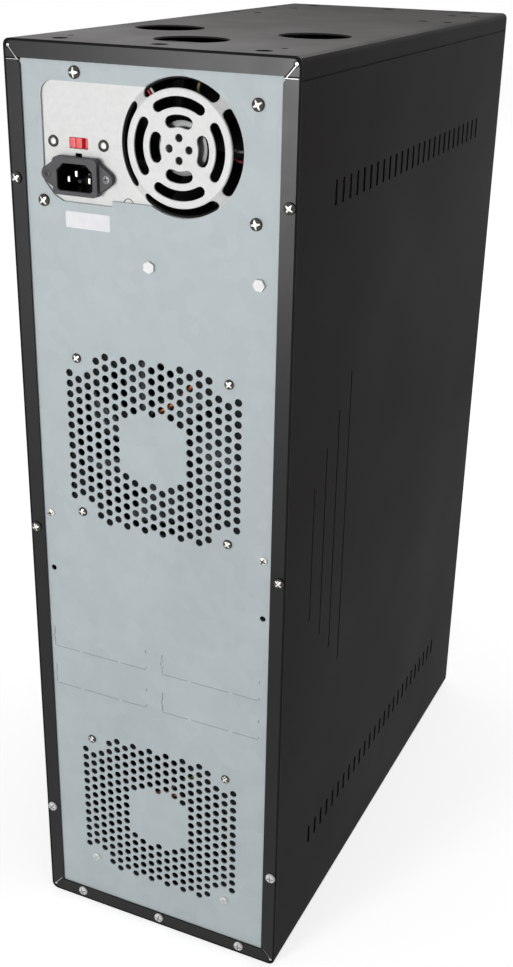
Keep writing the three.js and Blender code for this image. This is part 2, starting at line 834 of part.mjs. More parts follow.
// The button sits low on the bezel, to the right
const ejectWidth = 11;
const ejectHeight = 4.4;
const ejectX = 56;
const ejectBase = 8;
const ejectProud = 1;
const ejectLength = 6;
const ejectTravel = 1;
const pocketWall = 1.2;

function driveCase() {
  const x = about(0, driveWidth);
  const y = [bezelBack - sheet, bezelBack + driveDepth];
  const innerX = past(x, -sheet);
  const innerY = [bezelBack + sheet, y[1] - sheet];
  const deckTop = trayBase - seat;
  const bezel = block(about(0, bezelWidth), [bezelFront, bezelBack], bezelSpan(0));
  const hull = block(x, y, [0, driveHeight]);
  const below = block(innerX, innerY, [sheet, deckTop - deckThick]);
  const above = block(innerX, innerY, [deckTop, driveHeight - sheet]);
  const behind = block(innerX, [innerY[1] - deckBackGap, innerY[1]], [sheet, driveHeight - sheet]);
  const mouth = block(
    about(0, trayDoorWidth + 2 * seat),
    [bezelFront - overrun, innerY[0] + sheet],
    [deckTop, deckTop + trayDoorHeight + 2 * seat],
  );
  const pocketBack = bezelFront - ejectProud + ejectLength + ejectTravel + seat;
  const pocket = block(
    past(about(ejectX, ejectWidth), seat),
    [bezelFront - overrun, pocketBack],
    past([ejectBase, ejectBase + ejectHeight], seat),
  );
  const pocketBox = block(
    past(about(ejectX, ejectWidth), pocketWall + seat),
    [bezelFront + sheet, pocketBack + pocketWall],
    past([ejectBase, ejectBase + ejectHeight], pocketWall + seat),
  );
  const shell = cut(join(bezel, hull), below, above, behind, mouth);
  return cut(join(shell, pocketBox), pocket);
}

function discTray() {
  const front = bezelFront;
  const back = front + trayLength;
  const discY = front + discFromFront;
  const door = block(
    about(0, trayDoorWidth),
    [front, front + trayDoorThick],
    [trayBase, trayBase + trayDoorHeight],
  );
  const bed = block(about(0, trayWidth), [front, back], [trayBase, trayBase + trayThick]);
  const top = trayBase + trayThick;
  const recess = rodAlongZ(0, discY, discRadius, [top - discDepth, top + overrun], discSteps);
  const slotY = [discY - spindleSlotAhead, discY + discRadius - sheet];
  const slot = block(about(0, spindleSlotWidth), slotY, past([trayBase, top], overrun));
  return join(cut(bed, recess, slot), door);
}

function ejectButton() {
  const front = bezelFront - ejectProud;
  const upright = [ejectBase, ejectBase + ejectHeight];
  return block(about(ejectX, ejectWidth), [front, front + ejectLength], upright);
}

const driveCaseGeometry = geometryOf(driveCase());
const trayGeometry = geometryOf(discTray());
const ejectGeometry = geometryOf(ejectButton());
for (let i = 0; i < driveCount; i += 1) {
  const number = String(i + 1).padStart(2, "0");
  const drive = new THREE.Group();
  drive.position.z = bayZ(i);
  tower.add(drive);
  place(`drive_${number}_case`, driveCaseGeometry, "driveCase", drive);
  place(`drive_${number}_tray`, trayGeometry, "trayPlastic", drive);
  place(`drive_${number}_eject_button`, ejectGeometry, "drivePlastic", drive);
}

// Control unit
// A bezel with a display window and four keys, a sheet tray, its board and the display board.
const unitZ = bayZ(driveCount);
const unitMiddle = unitZ + driveHeight / 2;
const displayX = -21;
const displayWidth = 66;
const displayHeight = 17;
const displayFrameWidth = 76;
const displayFrameHeight = 26;
const displayFrameDepth = 7;
const displayBoardWidth = 138;
const displayBoardHeight = 34;
const keyNames = ["up", "down", "enter", "escape"];
const keySize = 9;
const keyFirst = 24;
const keyPitch = 13;
const keyProud = 1.5;
const keyTravel = 0.8;
const keyFlange = 1;
const switchSize = 6;
const armLength = 20;
const armHeight = 30;
const armThick = 1.5;
const displayBoardY = bezelBack + seat + displayFrameDepth;
const keyX = (index) => keyFirst + index * keyPitch;
const keyBack = bezelBack + seat + keyFlange;
const bossRadius = 2.5;

function controllerFascia() {
  const plate = block(about(0, bezelWidth), [bezelFront, bezelBack], bezelSpan(unitZ));
  const through = past([bezelFront, bezelBack], overrun);
  const arms = [-1, 1].map((side) => {
    const outer = side * (driveWidth / 2 - sheet - seat);
    const inner = outer - side * armThick;
    const across = [Math.min(inner, outer), Math.max(inner, outer)];
    return block(across, [bezelBack - sheet, bezelBack + armLength], about(unitMiddle, armHeight));
  });
  const bossX = displayBoardWidth / 2 - 2 * bossRadius;
  const bossZ = displayBoardHeight / 2 - 2 * bossRadius;
  const bosses = [-bossX, bossX].flatMap((x) =>
    [-bossZ, bossZ].map((z) =>
      rodAlongY(x, unitMiddle + z, bossRadius, [bezelBack - sheet, displayBoardY - seat]),
    ),
  );
  const display = block(about(displayX, displayWidth), through, about(unitMiddle, displayHeight));
  const keyHoles = keyNames.map((_, i) =>
    block(about(keyX(i), keySize + 2 * seat), through, about(unitMiddle, keySize + 2 * seat)),
  );
  return cut(join(plate, ...arms, ...bosses), display, ...keyHoles);
}

function displayBoard() {
  const board = block(
    about(0, displayBoardWidth),
    [displayBoardY, displayBoardY + boardThick],
    about(unitMiddle, displayBoardHeight),
  );
  const frame = block(
    about(displayX, displayFrameWidth),
    [bezelBack + seat, displayBoardY + boardThick / 2],
    about(unitMiddle, displayFrameHeight),
  );
  const switches = keyNames.map((_, i) =>
    block(
      about(keyX(i), switchSize),
      [keyBack + keyTravel + seat, displayBoardY + boardThick / 2],
      about(unitMiddle, switchSize),
    ),
  );
  return join(board, frame, ...switches);
}

function key() {
  const across = about(0, keySize);
  const wide = past(across, keyFlange);
  const cap = block(across, [bezelFront - keyProud, keyBack], across);
  const flange = block(wide, [bezelBack + seat, keyBack], wide);
  return join(cap, flange);
}

place("controller_fascia", geometryOf(controllerFascia()), "drivePlastic");
place("display_board", geometryOf(displayBoard()), "circuitBoard");
const keyGeometry = geometryOf(key());
keyNames.forEach((name, i) => {
  const cap = place(`key_${name}`, keyGeometry, "drivePlastic");
  cap.position.set(keyX(i), 0, unitMiddle);
});

const unitDepth = 140;
const unitSideHeight = 14;
const unitBoardWidth = 126;
const unitBoardLength = 100;
const unitPostInset = 7;
const chipHeight = 3;
const chipShares = [
  { x: -0.24, y: 0, width: 0.22 },
  { x: 0.14, y: 0.22, width: 0.16 },
  { x: 0.27, y: -0.24, width: 0.13 },
];

const unitTrayFront = displayBoardY + boardThick + seat;
const unitPlateTop = unitZ + sheet;
const unitBoardMiddleY = unitTrayFront + unitDepth / 2;

function controllerTray() {
  const half = driveWidth / 2;
  const depth = [bezelBack + seat, bezelBack + unitDepth];
  const floor = block([-half, half], [unitTrayFront, depth[1]], [unitZ, unitPlateTop]);
  const sides = [
    block([-half, -half + sheet], depth, [unitZ, unitZ + unitSideHeight]),
    block([half - sheet, half], depth, [unitZ, unitZ + unitSideHeight]),
  ];
  const posts = about(0, unitBoardWidth - 2 * unitPostInset).flatMap((x) =>
    about(unitBoardMiddleY, unitBoardLength - 2 * unitPostInset).map((y) =>
      rodAlongZ(x, y, postRadius, [unitZ, unitPlateTop + postHeight]),
    ),
  );
  return join(floor, ...sides, ...posts);
}

function controllerBoard() {
  const base = unitPlateTop + postHeight + seat;
  const top = base + boardThick;
  const board = block(about(0, unitBoardWidth), about(unitBoardMiddleY, unitBoardLength), [base, top]);
  const fitted = chipShares.map(({ x, y, width }) => {
    const across = about(x * unitBoardWidth, width * unitBoardWidth);
    const along = about(unitBoardMiddleY + y * unitBoardLength, width * unitBoardWidth);
    return block(across, along, [top - boardThick / 2, top + chipHeight]);
  });
  return join(board, ...fitted);
}

place("controller_tray", geometryOf(controllerTray()), "brightSteel");
place("controller_board", geometryOf(controllerBoard()), "circuitBoard");

// Drive cage
// A plate on each side of the drives, with a ledge under each drive and flanges to the panel and the base.
const cageInner = driveWidth / 2 + seat;
const cageOuter = cageInner + sheet;
const cageFlange = 12;
const cageLength = 150;
const ledgeWidth = 8;
const ledgeThick = 0.7;
const frontPanelOuter = frontFace + sheet + seat;
const frontPanelInner = frontPanelOuter + sheet;
const cageFront = frontPanelInner + seat;
const cageTop = bayTop - bezelGap;

function cagePlate() {
  const depth = [cageFront, cageFront + cageLength];
  const web = block([cageInner, cageOuter], depth, [panelLow, cageTop]);
  const flangeX = [cageInner, cageOuter + cageFlange];
  const front = block(flangeX, [cageFront, cageFront + sheet], [bayFirst, cageTop]);
  const foot = block(flangeX, depth, [panelLow, panelLow + sheet]);
  const ledges = Array.from({ length: bayCount }, (_, i) => {
    const top = bayZ(i) - seat;
    return block([cageInner - ledgeWidth, cageInner + sheet / 2], depth, [top - ledgeThick, top]);
  });
  return join(web, front, foot, ...ledges);
}

const cageGeometry = geometryOf(cagePlate());
place("cage_left", cageGeometry, "zincSteel");
const mirrored = new THREE.Group();
mirrored.scale.x = -1;
tower.add(mirrored);
place("cage_right", cageGeometry, "zincSteel", mirrored);

// Front panel
// A plate behind the front flange, with the bay window, air slots and the switch cut-out.
const bayWindowGap = 0.6;
const airSlotCount = 9;
const airSlotPitch = 9;
const airSlotWidth = 4;
const airSlotHeight = 70;
const airSlotX = -22;
const airSlotZ = 68;
const switchX = 48;
const switchZ = 68;
const switchWidth = 13;
const switchHeight = 19.4;
const switchFlangeWidth = 15;
const switchFlangeHeight = 21;
const switchFlangeThick = 2;
const switchBodyDepth = 15;
const rockerWidth = 9.4;
const rockerHalfHeight = 7.5;
const rockerFrontDepth = 4.4;
const rockerDip = 1.6;
const rockerBack = 2.6;
const rockerTilt = Math.PI / 18;
const footLip = 12;

function frontPanel() {
  const skin = [frontPanelOuter, frontPanelInner];
  const through = past(skin, overrun);
  const plate = prismAlongY(plateShape(panelHalf, panelLow, panelHigh, panelLowBend, panelHighBend), skin);
  const lip = block([-lipHalf, lipHalf], [skin[0], skin[0] + lipDepth], [panelHigh - sheet, panelHigh]);
  const footHalf = cageInner - seat;
  const foot = block([-footHalf, footHalf], [skin[0], skin[0] + footLip], [panelLow, panelLow + sheet]);
  const window = block(
    about(0, bezelWidth + 2 * bayWindowGap),
    through,
    [bayFirst - bayWindowGap, bayTop - bezelGap + bayWindowGap],
  );
  const slots = Array.from({ length: airSlotCount }, (_, i) => {
    const x = airSlotX + (i - (airSlotCount - 1) / 2) * airSlotPitch;
    return block(about(x, airSlotWidth), through, about(airSlotZ, airSlotHeight));
  });
  const mouthX = about(switchX, switchWidth + 2 * seat);
  const mouth = block(mouthX, through, about(switchZ, switchHeight + 2 * seat));
  return cut(join(plate, lip, foot), window, mouth, ...slots);
}

place("front_panel", geometryOf(frontPanel()), "blackPowder");

// Power switch: a housing clipped into the front panel and a rocker tilted to its off side
const switchFront = frontPanelOuter - seat - switchFlangeThick;
const rockerPivotY = switchFront + rockerFrontDepth - rockerDip;
const rockerSweep = Math.hypot(rockerFrontDepth, rockerHalfHeight);
const rockerRoomBack = rockerPivotY + rockerSweep;

function switchHousing() {
  const flange = block(
    about(switchX, switchFlangeWidth),
    [switchFront, switchFront + switchFlangeThick],
    about(switchZ, switchFlangeHeight),
  );
  const body = block(
    about(switchX, switchWidth),
    [switchFront, switchFront + switchBodyDepth],
    about(switchZ, switchHeight),
  );
  const room = block(
    about(switchX, rockerWidth + 2 * seat),
    [switchFront - overrun, rockerRoomBack],
    about(switchZ, 2 * (rockerSweep + seat)),
  );
  return cut(join(flange, body), room);
}

function rocker() {
  const profile = outline(
    [-rockerFrontDepth, -rockerHalfHeight],
    [-rockerFrontDepth + rockerDip, 0],
    [-rockerFrontDepth, rockerHalfHeight],
    [0, rockerHalfHeight],
    [rockerBack, 0],
    [0, -rockerHalfHeight],
  );
  return prismAlongX(profile, about(0, rockerWidth));
}

place("power_switch_housing", geometryOf(switchHousing()), "inletPlastic");
const rockerMesh = place("power_rocker", geometryOf(rocker()), "inletPlastic");
rockerMesh.position.set(switchX, rockerPivotY, switchZ);
rockerMesh.rotation.x = rockerTilt;

// Wiring
// One loom feeds both case fans, and a flat harness with a plug at each drive feeds the drives.
const trunkX = -68;
const trunkY = 40;
const trunkRadius = 5;
const leadRadius = 2;
const trunkLow = 60;
const leadRise = 40;
const leadX = -50;
const cableSides = 8;
const trunkSteps = 14;
const leadSteps = 8;
const trunkExitRise = 12;
const trunkExitZ = psuZ[0] + trunkExitRise;

function fanLoom() {
  const bend = (psuY[0] - trunkY) / 2;
  const trunk = cable(
    [
      [trunkX, psuY[0] - seat, trunkExitZ],
      [trunkX, psuY[0] - trunkRadius, trunkExitZ],
      [trunkX, trunkY + bend / 2, trunkExitZ - bend / 2],
      [trunkX, trunkY, trunkExitZ - 2 * bend],
      [trunkX, trunkY, upperFanZ],
      [trunkX, trunkY, lowerFanZ + leadRise],
      [trunkX, trunkY, trunkLow],
    ],
    trunkRadius,
    trunkSteps,
    cableSides,
  );
  const fanInner = caseFanY - caseFan.depth - seat;
  const half = (fanInner - trunkY) / 2;
  const leads = [upperFanZ, lowerFanZ].map((z) =>
    cable(
      [
        [trunkX, trunkY, z + leadRise - trunkRadius],
        [trunkX, trunkY + half, z + leadRise - trunkRadius],
        [leadX, fanInner - trunkRadius, z + leadRise],
        [leadX, fanInner, z + leadRise],
      ],
      leadRadius,
      leadSteps,
      holeSteps,
    ),
  );
  return join(trunk, ...leads);
}

const plugWidth = 30;
const plugHeight = 8;
const plugDepth = 9;
const plugRise = 6;
const ribbonWidth = 20;
const ribbonThick = 2;
const ribbonX = -30;
const driveBack = bezelBack + driveDepth;

function driveHarness() {
  const plugBack = driveBack + seat + plugDepth;
  const plugs = Array.from({ length: driveCount }, (_, i) => {
    const base = bayZ(i) + plugRise;
    return block(about(ribbonX, plugWidth), [driveBack + seat, plugBack], [base, base + plugHeight]);
  });
  const ribbonTop = psuZ[0] + psuHeight / 2;
  const upright = block(
    about(ribbonX, ribbonWidth),
    [plugBack - ribbonThick / 2, plugBack + ribbonThick / 2],
    [bayZ(0) + plugRise, ribbonTop],
  );
  const level = block(
    about(ribbonX, ribbonWidth),
    [plugBack - ribbonThick / 2, psuY[0] - seat],
    [ribbonTop - ribbonThick, ribbonTop],
  );
  return join(upright, level, ...plugs);
}

place("fan_loom", geometryOf(fanLoom()), "cableSleeve");
place("drive_harness", geometryOf(driveHarness()), "cableSleeve");

export default tower;
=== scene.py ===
"""The looks of a disc duplicator tower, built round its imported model.

The case is drawn in millimetres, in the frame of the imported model: +Z is up, +Y is the rear and +X is
the left side as seen from the rear. Each finished mesh is turned to metres as the last step.
"""

from __future__ import annotations

import logging
import random
from collections.abc import Callable, Sequence
from dataclasses import dataclass, field
from enum import Enum
from math import acos, asin, atan2, ceil, copysign, cos, degrees, hypot, pi, radians, sin
from typing import ClassVar

import bmesh
import bpy
from mathutils import Matrix, Vector

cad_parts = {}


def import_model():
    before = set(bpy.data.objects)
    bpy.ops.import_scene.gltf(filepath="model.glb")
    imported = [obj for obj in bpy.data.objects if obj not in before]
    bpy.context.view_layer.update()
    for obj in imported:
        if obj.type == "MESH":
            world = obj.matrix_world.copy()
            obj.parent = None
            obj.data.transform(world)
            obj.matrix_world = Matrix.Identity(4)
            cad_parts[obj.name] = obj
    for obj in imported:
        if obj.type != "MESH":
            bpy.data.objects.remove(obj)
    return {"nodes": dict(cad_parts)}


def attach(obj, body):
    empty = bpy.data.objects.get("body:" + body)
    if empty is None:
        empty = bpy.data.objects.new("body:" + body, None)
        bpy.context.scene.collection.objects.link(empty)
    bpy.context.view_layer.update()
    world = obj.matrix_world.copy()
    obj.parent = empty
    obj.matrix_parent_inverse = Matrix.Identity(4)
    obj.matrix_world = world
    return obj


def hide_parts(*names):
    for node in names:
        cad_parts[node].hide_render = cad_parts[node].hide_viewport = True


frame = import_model()

LOG = logging.getLogger("tower")
MM = 0.001
CASE = "tower"
SHEET = 1.0
REAR = 206.0
FRONT = -206.0
HALF_WIDTH = 93.0
TOP = 617.0
QUARTERS = (0, 90, 180, 270)
DRIVES = 10
BAY_FIRST = 131.5
BAY_PITCH = 42.6
BEZEL = (148.0, 41.6)
# The angle, in degrees, past which an edge stays sharp.
CREASE = 35.0

Point = tuple[float, float]
Span = tuple[float, float]
Triple = tuple[float, float, float]
Outline = list[Point]
Mitre = tuple[Point, Point]
Mesh = bmesh.types.BMesh
Edge = bmesh.types.BMEdge
EdgeTest = Callable[[Edge], bool]
Tree = bpy.types.NodeTree
Socket = bpy.types.NodeSocket


def linear(colour: str) -> tuple[float, float, float, float]:
    """Turns an sRGB hex colour to linear values.

    Args:
        colour: Six hex digits.

    Returns:
        Linear red, green, blue and an alpha of one.
    """
    shares = [int(colour[i : i + 2], 16) / 255 for i in (0, 2, 4)]
    red, green, blue = (s / 12.92 if s <= 0.04045 else ((s + 0.055) / 1.055) ** 2.4 for s in shares)
    return red, green, blue, 1.0


def node(tree: Tree, kind: str, settings: dict | None = None, inputs: dict | None = None) -> bpy.types.Node:
    """Adds one node with its settings and its inputs.

    Args:
        tree: The tree that takes the node.
        kind: The node's type name.
        settings: Values of the node's own fields.
        inputs: A value or an output socket for each named or numbered input.

    Returns:
        The new node.
    """
    made = tree.nodes.new(kind)
    for name, value in (settings or {}).items():
        setattr(made, name, value)
    for key, value in (inputs or {}).items():
        if isinstance(value, Socket):
            tree.links.new(value, made.inputs[key])
        else:
            made.inputs[key].default_value = value
    return made


@dataclass(frozen=True)
class Finish:
    """A surface: a colour that drifts between two hex values, its gloss, and a grain in its height.

    Sizes are millimetres. patch is the size of the drifts in colour and gloss, and grain the size of
    the bumps, which depth says the height of.
    """

    # How strongly the finer layers of a drift or a grain show.
    blur: ClassVar[float] = 0.55

    name: str
    colour: str
    drift: str
    metallic: float = 0.0
    gloss: Span = (0.45, 0.55)
    specular: float = 0.5
    patch: float = 30.0
    grain: float = 1.0
    depth: float = 0.01

    def material(self) -> bpy.types.Material:
        """Makes the finish's material when it is first asked for.

        Returns:
            The material.
        """
        made = bpy.data.materials.get(self.name)
        if made is None:
            made = bpy.data.materials.new(self.name)
            made.use_nodes = True
            self.fill(made.node_tree)
        return made

    def fill(self, tree: Tree) -> None:
        """Puts the finish's nodes round the tree's shader.

        Args:
            tree: The material's node tree.
        """
        shader = tree.nodes["Principled BSDF"]
        shader.inputs["Metallic"].default_value = self.metallic
        shader.inputs["Specular IOR Level"].default_value = self.specular
        where = node(tree, "ShaderNodeTexCoord").outputs["Object"]
        cloud = {"Vector": where, "Scale": 1 / (self.patch * MM), "Detail": 3.0, "Roughness": self.blur}
        drift = node(tree, "ShaderNodeTexNoise", inputs=cloud).outputs["Fac"]
        tree.links.new(self.colours(tree, where, drift), shader.inputs["Base Color"])
        tree.links.new(self.roughness(tree, where, drift), shader.inputs["Roughness"])
        relief = {"Height": self.heights(tree, where), "Distance": self.depth * MM, "Strength": 1.0}
        bump = node(tree, "ShaderNodeBump", inputs=relief)
        tree.links.new(bump.outputs["Normal"], shader.inputs["Normal"])

    def roughness(self, tree: Tree, where: Socket, drift: Socket) -> Socket:
        """Returns a roughness that drifts between the two gloss values."""
        settings = {"From Min": 0.3, "From Max": 0.7, "To Min": self.gloss[0], "To Max": self.gloss[1]}
        return node(tree, "ShaderNodeMapRange", inputs={"Value": drift, **settings}).outputs["Result"]

    def colours(self, tree: Tree, where: Socket, drift: Socket) -> Socket:
        """Mixes the two colours by the drift.

        Args:
            tree: The material's node tree.
            where: The coordinates; not used here.
            drift: The slow noise that colour and gloss follow.

        Returns:
            The colour socket.
        """
        ramp = node(tree, "ShaderNodeValToRGB", inputs={"Fac": drift})
        low, high = ramp.color_ramp.elements
        low.position, high.position = 0.32, 0.68
        low.color, high.color = linear(self.colour), linear(self.drift)
        return ramp.outputs["Color"]

    def heights(self, tree: Tree, where: Socket) -> Socket:
        """Returns the grain's heights at the coordinates."""
        grains = {"Vector": where, "Scale": 1 / (self.grain * MM), "Detail": 2.0, "Roughness": self.blur}
        return node(tree, "ShaderNodeTexNoise", inputs=grains).outputs["Fac"]


@dataclass(frozen=True)
class SpangledZinc(Finish):
    """Hot-dip zinc: its crystals lie at slightly different shades, and rolling leaves faint upright lines."""

    spangle: float = 9.0
    shade_share: float = 0.05
    rolling: float = 0.6

    def colours(self, tree: Tree, where: Socket, drift: Socket) -> Socket:
        """Shades the drifting colour by crystal.

        Args:
            tree: The material's node tree.
            where: The coordinates.
            drift: The slow noise that colour and gloss follow.

        Returns:
            The colour socket.
        """
        base = super().colours(tree, where, drift)
        cells = node(tree, "ShaderNodeTexVoronoi", inputs={"Vector": where, "Scale": 1 / (self.spangle * MM)})
        grey = node(tree, "ShaderNodeSeparateColor", inputs={"Color": cells.outputs["Color"]})
        span = {"To Min": 1 - self.shade_share, "To Max": 1.0}
        shade = node(tree, "ShaderNodeMapRange", inputs={"Value": grey.outputs["Red"], **span})
        settings = {"data_type": "RGBA", "blend_type": "MULTIPLY"}
        return node(tree, "ShaderNodeMix", settings, {0: 1.0, 6: base, 7: shade.outputs["Result"]}).outputs[2]

    def heights(self, tree: Tree, where: Socket) -> Socket:
        """Stretches the grain along the rolling direction.

        Args:
            tree: The material's node tree.
            where: The coordinates.

        Returns:
            The height socket.
        """
        stretch = (1 / self.rolling, 1 / self.rolling, 1 / (40 * self.rolling))
        turned = node(tree, "ShaderNodeMapping", inputs={"Vector": where, "Scale": stretch})
        inputs = {"Vector": turned.outputs["Vector"], "Scale": 1 / MM, "Detail": 2.0}
        return node(tree, "ShaderNodeTexNoise", inputs=inputs).outputs["Fac"]


@dataclass(frozen=True)
class HandledCoat(Finish):
    """A coat that handling has left duller towards one end: its roughness rises along a direction."""

    towards: Triple = (-0.5, -0.87, 0.0)
    between: Span = (-180.0, 200.0)
    dulling: float = 0.4

    def roughness(self, tree: Tree, where: Socket, drift: Socket) -> Socket:
        """Adds the rise to the drifting roughness.

        Args:
            tree: The material's node tree.
            where: The coordinates.
            drift: The slow noise that colour and gloss follow.

        Returns:
            The roughness socket.
        """
        base = super().roughness(tree, where, drift)
        along = node(tree, "ShaderNodeVectorMath", {"operation": "DOT_PRODUCT"}, {0: where, 1: self.towards})
        start, end = self.between
        span = {"From Min": start * MM, "From Max": end * MM, "To Max": self.dulling}
        rise = node(tree, "ShaderNodeMapRange", inputs={"Value": along.outputs["Value"], **span})
        parts = {0: base, 1: rise.outputs["Result"]}
        return node(tree, "ShaderNodeMath", {"operation": "ADD"}, parts).outputs[0]


@dataclass(frozen=True)
class SolderMask(Finish):
    """A printed board: green mask over copper lanes, with a paler green where a lane lies under it."""

    lane: float = 2.4
    lane_colour: str = "2f7a4c"

    def colours(self, tree: Tree, where: Socket, drift: Socket) -> Socket:
        """Lays a grid of lanes under the mask's colour.

        Args:
            tree: The material's node tree.
            where: The coordinates.
            drift: The slow noise that colour and gloss follow.

        Returns:
            The colour socket.
        """
        base = super().colours(tree, where, drift)
        inputs = {
            "Vector": where, "Color1": (1, 1, 1, 1), "Color2": (0.6, 0.6, 0.6, 1), "Mortar": (0, 0, 0, 1),
            "Scale": 1 / (10 * self.lane * MM), "Mortar Size": 0.06,
        }
        lanes = node(tree, "ShaderNodeTexBrick", inputs=inputs)
        mix = {0: lanes.outputs["Fac"], 6: base, 7: linear(self.lane_colour)}
        return node(tree, "ShaderNodeMix", {"data_type": "RGBA"}, mix).outputs[2]


@dataclass(frozen=True)
class DisplayPane(Finish):
    """A blank dot-matrix display behind a clear pane: rows of faint square cells under gloss."""

    cell: float = 3.4
    cell_colour: str = "27407c"

    def colours(self, tree: Tree, where: Socket, drift: Socket) -> Socket:
        """Sets the blank cells on the display's ground.

        Args:
            tree: The material's node tree.
            where: The coordinates.
            drift: The slow noise that colour and gloss follow.

        Returns:
            The colour socket.
        """
        base = super().colours(tree, where, drift)
        turned = node(tree, "ShaderNodeMapping", inputs={"Vector": where, "Rotation": (pi / 2, 0, 0)})
        inputs = {
            "Vector": turned.outputs["Vector"], "Color1": (1, 1, 1, 1), "Color2": (1, 1, 1, 1),
            "Mortar": (0, 0, 0, 1), "Scale": 1 / (2 * self.cell * MM), "Mortar Size": 0.035,
        }
        cells = node(tree, "ShaderNodeTexBrick", {"offset": 0.0}, inputs)
        mix = {0: cells.outputs["Fac"], 6: linear(self.cell_colour), 7: base}
        return node(tree, "ShaderNodeMix", {"data_type": "RGBA"}, mix).outputs[2]


class Finishes:
    """The tower's finishes, each named for its real material and how it was made."""

    # Polyester powder coat on steel: near black, with a fine orange peel that breaks up its soft gloss.
    # The peel is 0.3 mm on the real sheet and is drawn 0.9 mm wide, so that it shows.
    powder = Finish("powder_coat_black", "161515", "1e1c1b", 0.0, (0.5, 0.6), 0.03, 170, 0.9, 0.02)
    # The same coat on the top, drawn lighter and warmer than on the sides as painted light for the sheen that
    # the top catches. Handling has left it duller, its roughness rising towards one end.
    cover = HandledCoat("powder_coat_black_top_painted_light", "262320", "2e2a26", 0.0, (0.42, 0.52), 0.38, 45, 0.9, 0.02)
    # Painted shade: the coat drawn near black and dull, laid on the folds, the floors of the mitres and
    # pressed lines, the dimples' walls and the laps, so that they read as dark lines.
    fold = Finish("powder_coat_black_painted_shade", "080808", "0c0c0c", 0.0, (0.55, 0.65), 0.08, 30, 0.9, 0.01)
    # The coat on the narrow flanges, which flowed out smoother and catches more light; its colour is drawn
    # darker than on the sides, as painted shade.
    flange = Finish("powder_coat_black_flange_painted_shade", "08090a", "0c0c0e", 0.0, (0.3, 0.35), 0.25, 30, 0.7, 0.012)
    # Hot-dip galvanised sheet with a skin pass: satin blue grey, almost no spangle.
    zinc = SpangledZinc("galvanised_sheet", "b6bfc3", "bcc5c8", 0.06, (0.46, 0.54), 0.25, 70, 1.0, 0.003)
    # Electro-zinc plated sheet, clear passivated: pale, a little speckled.
    bright = SpangledZinc(
        "bright_zinc_sheet", "dddedd", "e4e5e3", 0.06, (0.42, 0.52), 0.25, 25, 1.0, 0.003, 2.2, 0.05, 0.5
    )
    # Tin-plated drive case sheet.
    case_steel = SpangledZinc(
        "tinplate_sheet", "a9acad", "b6b8b9", 0.85, (0.3, 0.42), 0.5, 40, 1.0, 0.003, 5.0, 0.06, 0.4
    )
    # Nickel-plated steel: bright and smooth. On the screws, the blades' tips and the rivets' centres its
    # brightness is painted light: highlights and reflections.
    nickel = Finish("nickel_plated_steel", "d4d2cb", "e6e4de", 1.0, (0.2, 0.3), 0.5, 3, 0.6, 0.004)
    # Steel of the screws, the inlet's blades and the selector's rivets, drawn dark: painted reflection on
    # domes, blades and rivets, painted shade in crosses, with small bright reflections.
    dome = Finish("steel_painted_dark_reflection", "3d3c39", "555450", 1.0, (0.16, 0.24), 0.5, 2, 0.6, 0.004)
    # Dull grey steel: on one inlet screw it is painted light, as both inlet screws are black; in the pale
    # flange screws' crosses it is painted shade.
    phosphate = Finish("steel_painted_grey", "74757a", "85868b", 0.5, (0.4, 0.5), 0.4, 3, 0.6, 0.006)
    # Black oxide steel of the screws in the top.
    oxide = Finish("black_oxide_steel", "0e0e0f", "151516", 0.0, (0.4, 0.5), 0.2, 3, 0.6, 0.004)
    # Bare cut edge of plated sheet.
    raw_edge = Finish("sheared_steel_edge", "c4c6c7", "d8dada", 0.3, (0.25, 0.4), 0.5, 1.5, 0.5, 0.01)
    # ABS with a spark-eroded texture: matt black, a 0.4 mm grain drawn 0.7 mm wide, so that it shows.
    bezel = Finish("abs_spark_texture", "202022", "272729", 0.0, (0.5, 0.6), 0.4, 35, 0.7, 0.02)
    # ABS moulded against a satin tool: disc trays, keys and buttons.
    tray = Finish("abs_satin", "2a2a2c", "333335", 0.0, (0.36, 0.46), 0.45, 20, 0.8, 0.008)
    # Glass-filled PBT of the fans: flat black with faint flow marks.
    fan = Finish("pbt_glass_filled", "070708", "0b0b0c", 0.0, (0.55, 0.65), 0.12, 18, 0.9, 0.015)
    # The same plastic on the case fans' blades, with a film of dust that shows grey through the grilles.
    dusty = Finish("pbt_dusty", "3f4346", "4c5053", 0.0, (0.6, 0.7), 0.3, 12, 0.9, 0.015)
    # Satin foil label on a fan's motor, blank: grey, with a soft streak of light.
    foil = Finish("satin_foil_label", "595b5a", "6b6d6c", 0.5, (0.34, 0.42), 0.5, 8, 0.8, 0.01)
    # Moulded nylon of the mains inlet: dark grey, slightly grainy.
    inlet = Finish("nylon_moulded_black", "3a3b3e", "434448", 0.0, (0.46, 0.6), 0.4, 4, 0.6, 0.03)
    # The socket's inside, moulded with the rest: the same nylon drawn near black, as painted shade where it
    # lies out of the light.
    socket = Finish("nylon_socket_painted_shade", "09090a", "0d0d0f", 0.0, (0.25, 0.32), 0.3, 4, 0.6, 0.01)
    # Gloss red acetal of the voltage slider.
    red = Finish("acetal_red", "ee434a", "f6585d", 0.0, (0.28, 0.38), 0.5, 3, 0.8, 0.01)
    # White nylon of the spacers' heads.
    nylon = Finish("nylon_natural", "f0f1ef", "fafafa", 0.0, (0.4, 0.5), 0.45, 4, 0.8, 0.01)
    # Coated paper label, blank.
    paper = Finish("coated_paper", "eeeef2", "f6f6f9", 0.0, (0.5, 0.6), 0.4, 9, 0.5, 0.01)
    # Epoxy glass board under a green solder mask, half gloss.
    board = SolderMask("solder_mask_green", "134a2c", "1b5a37", 0.0, (0.3, 0.45), 0.5, 12, 1.0, 0.02)
    # Liquid crystal display behind clear acrylic: deep blue, glossy.
    pane = DisplayPane("display_pane", "15264f", "182b59", 0.0, (0.08, 0.14), 0.6, 20, 1.0, 0.002)
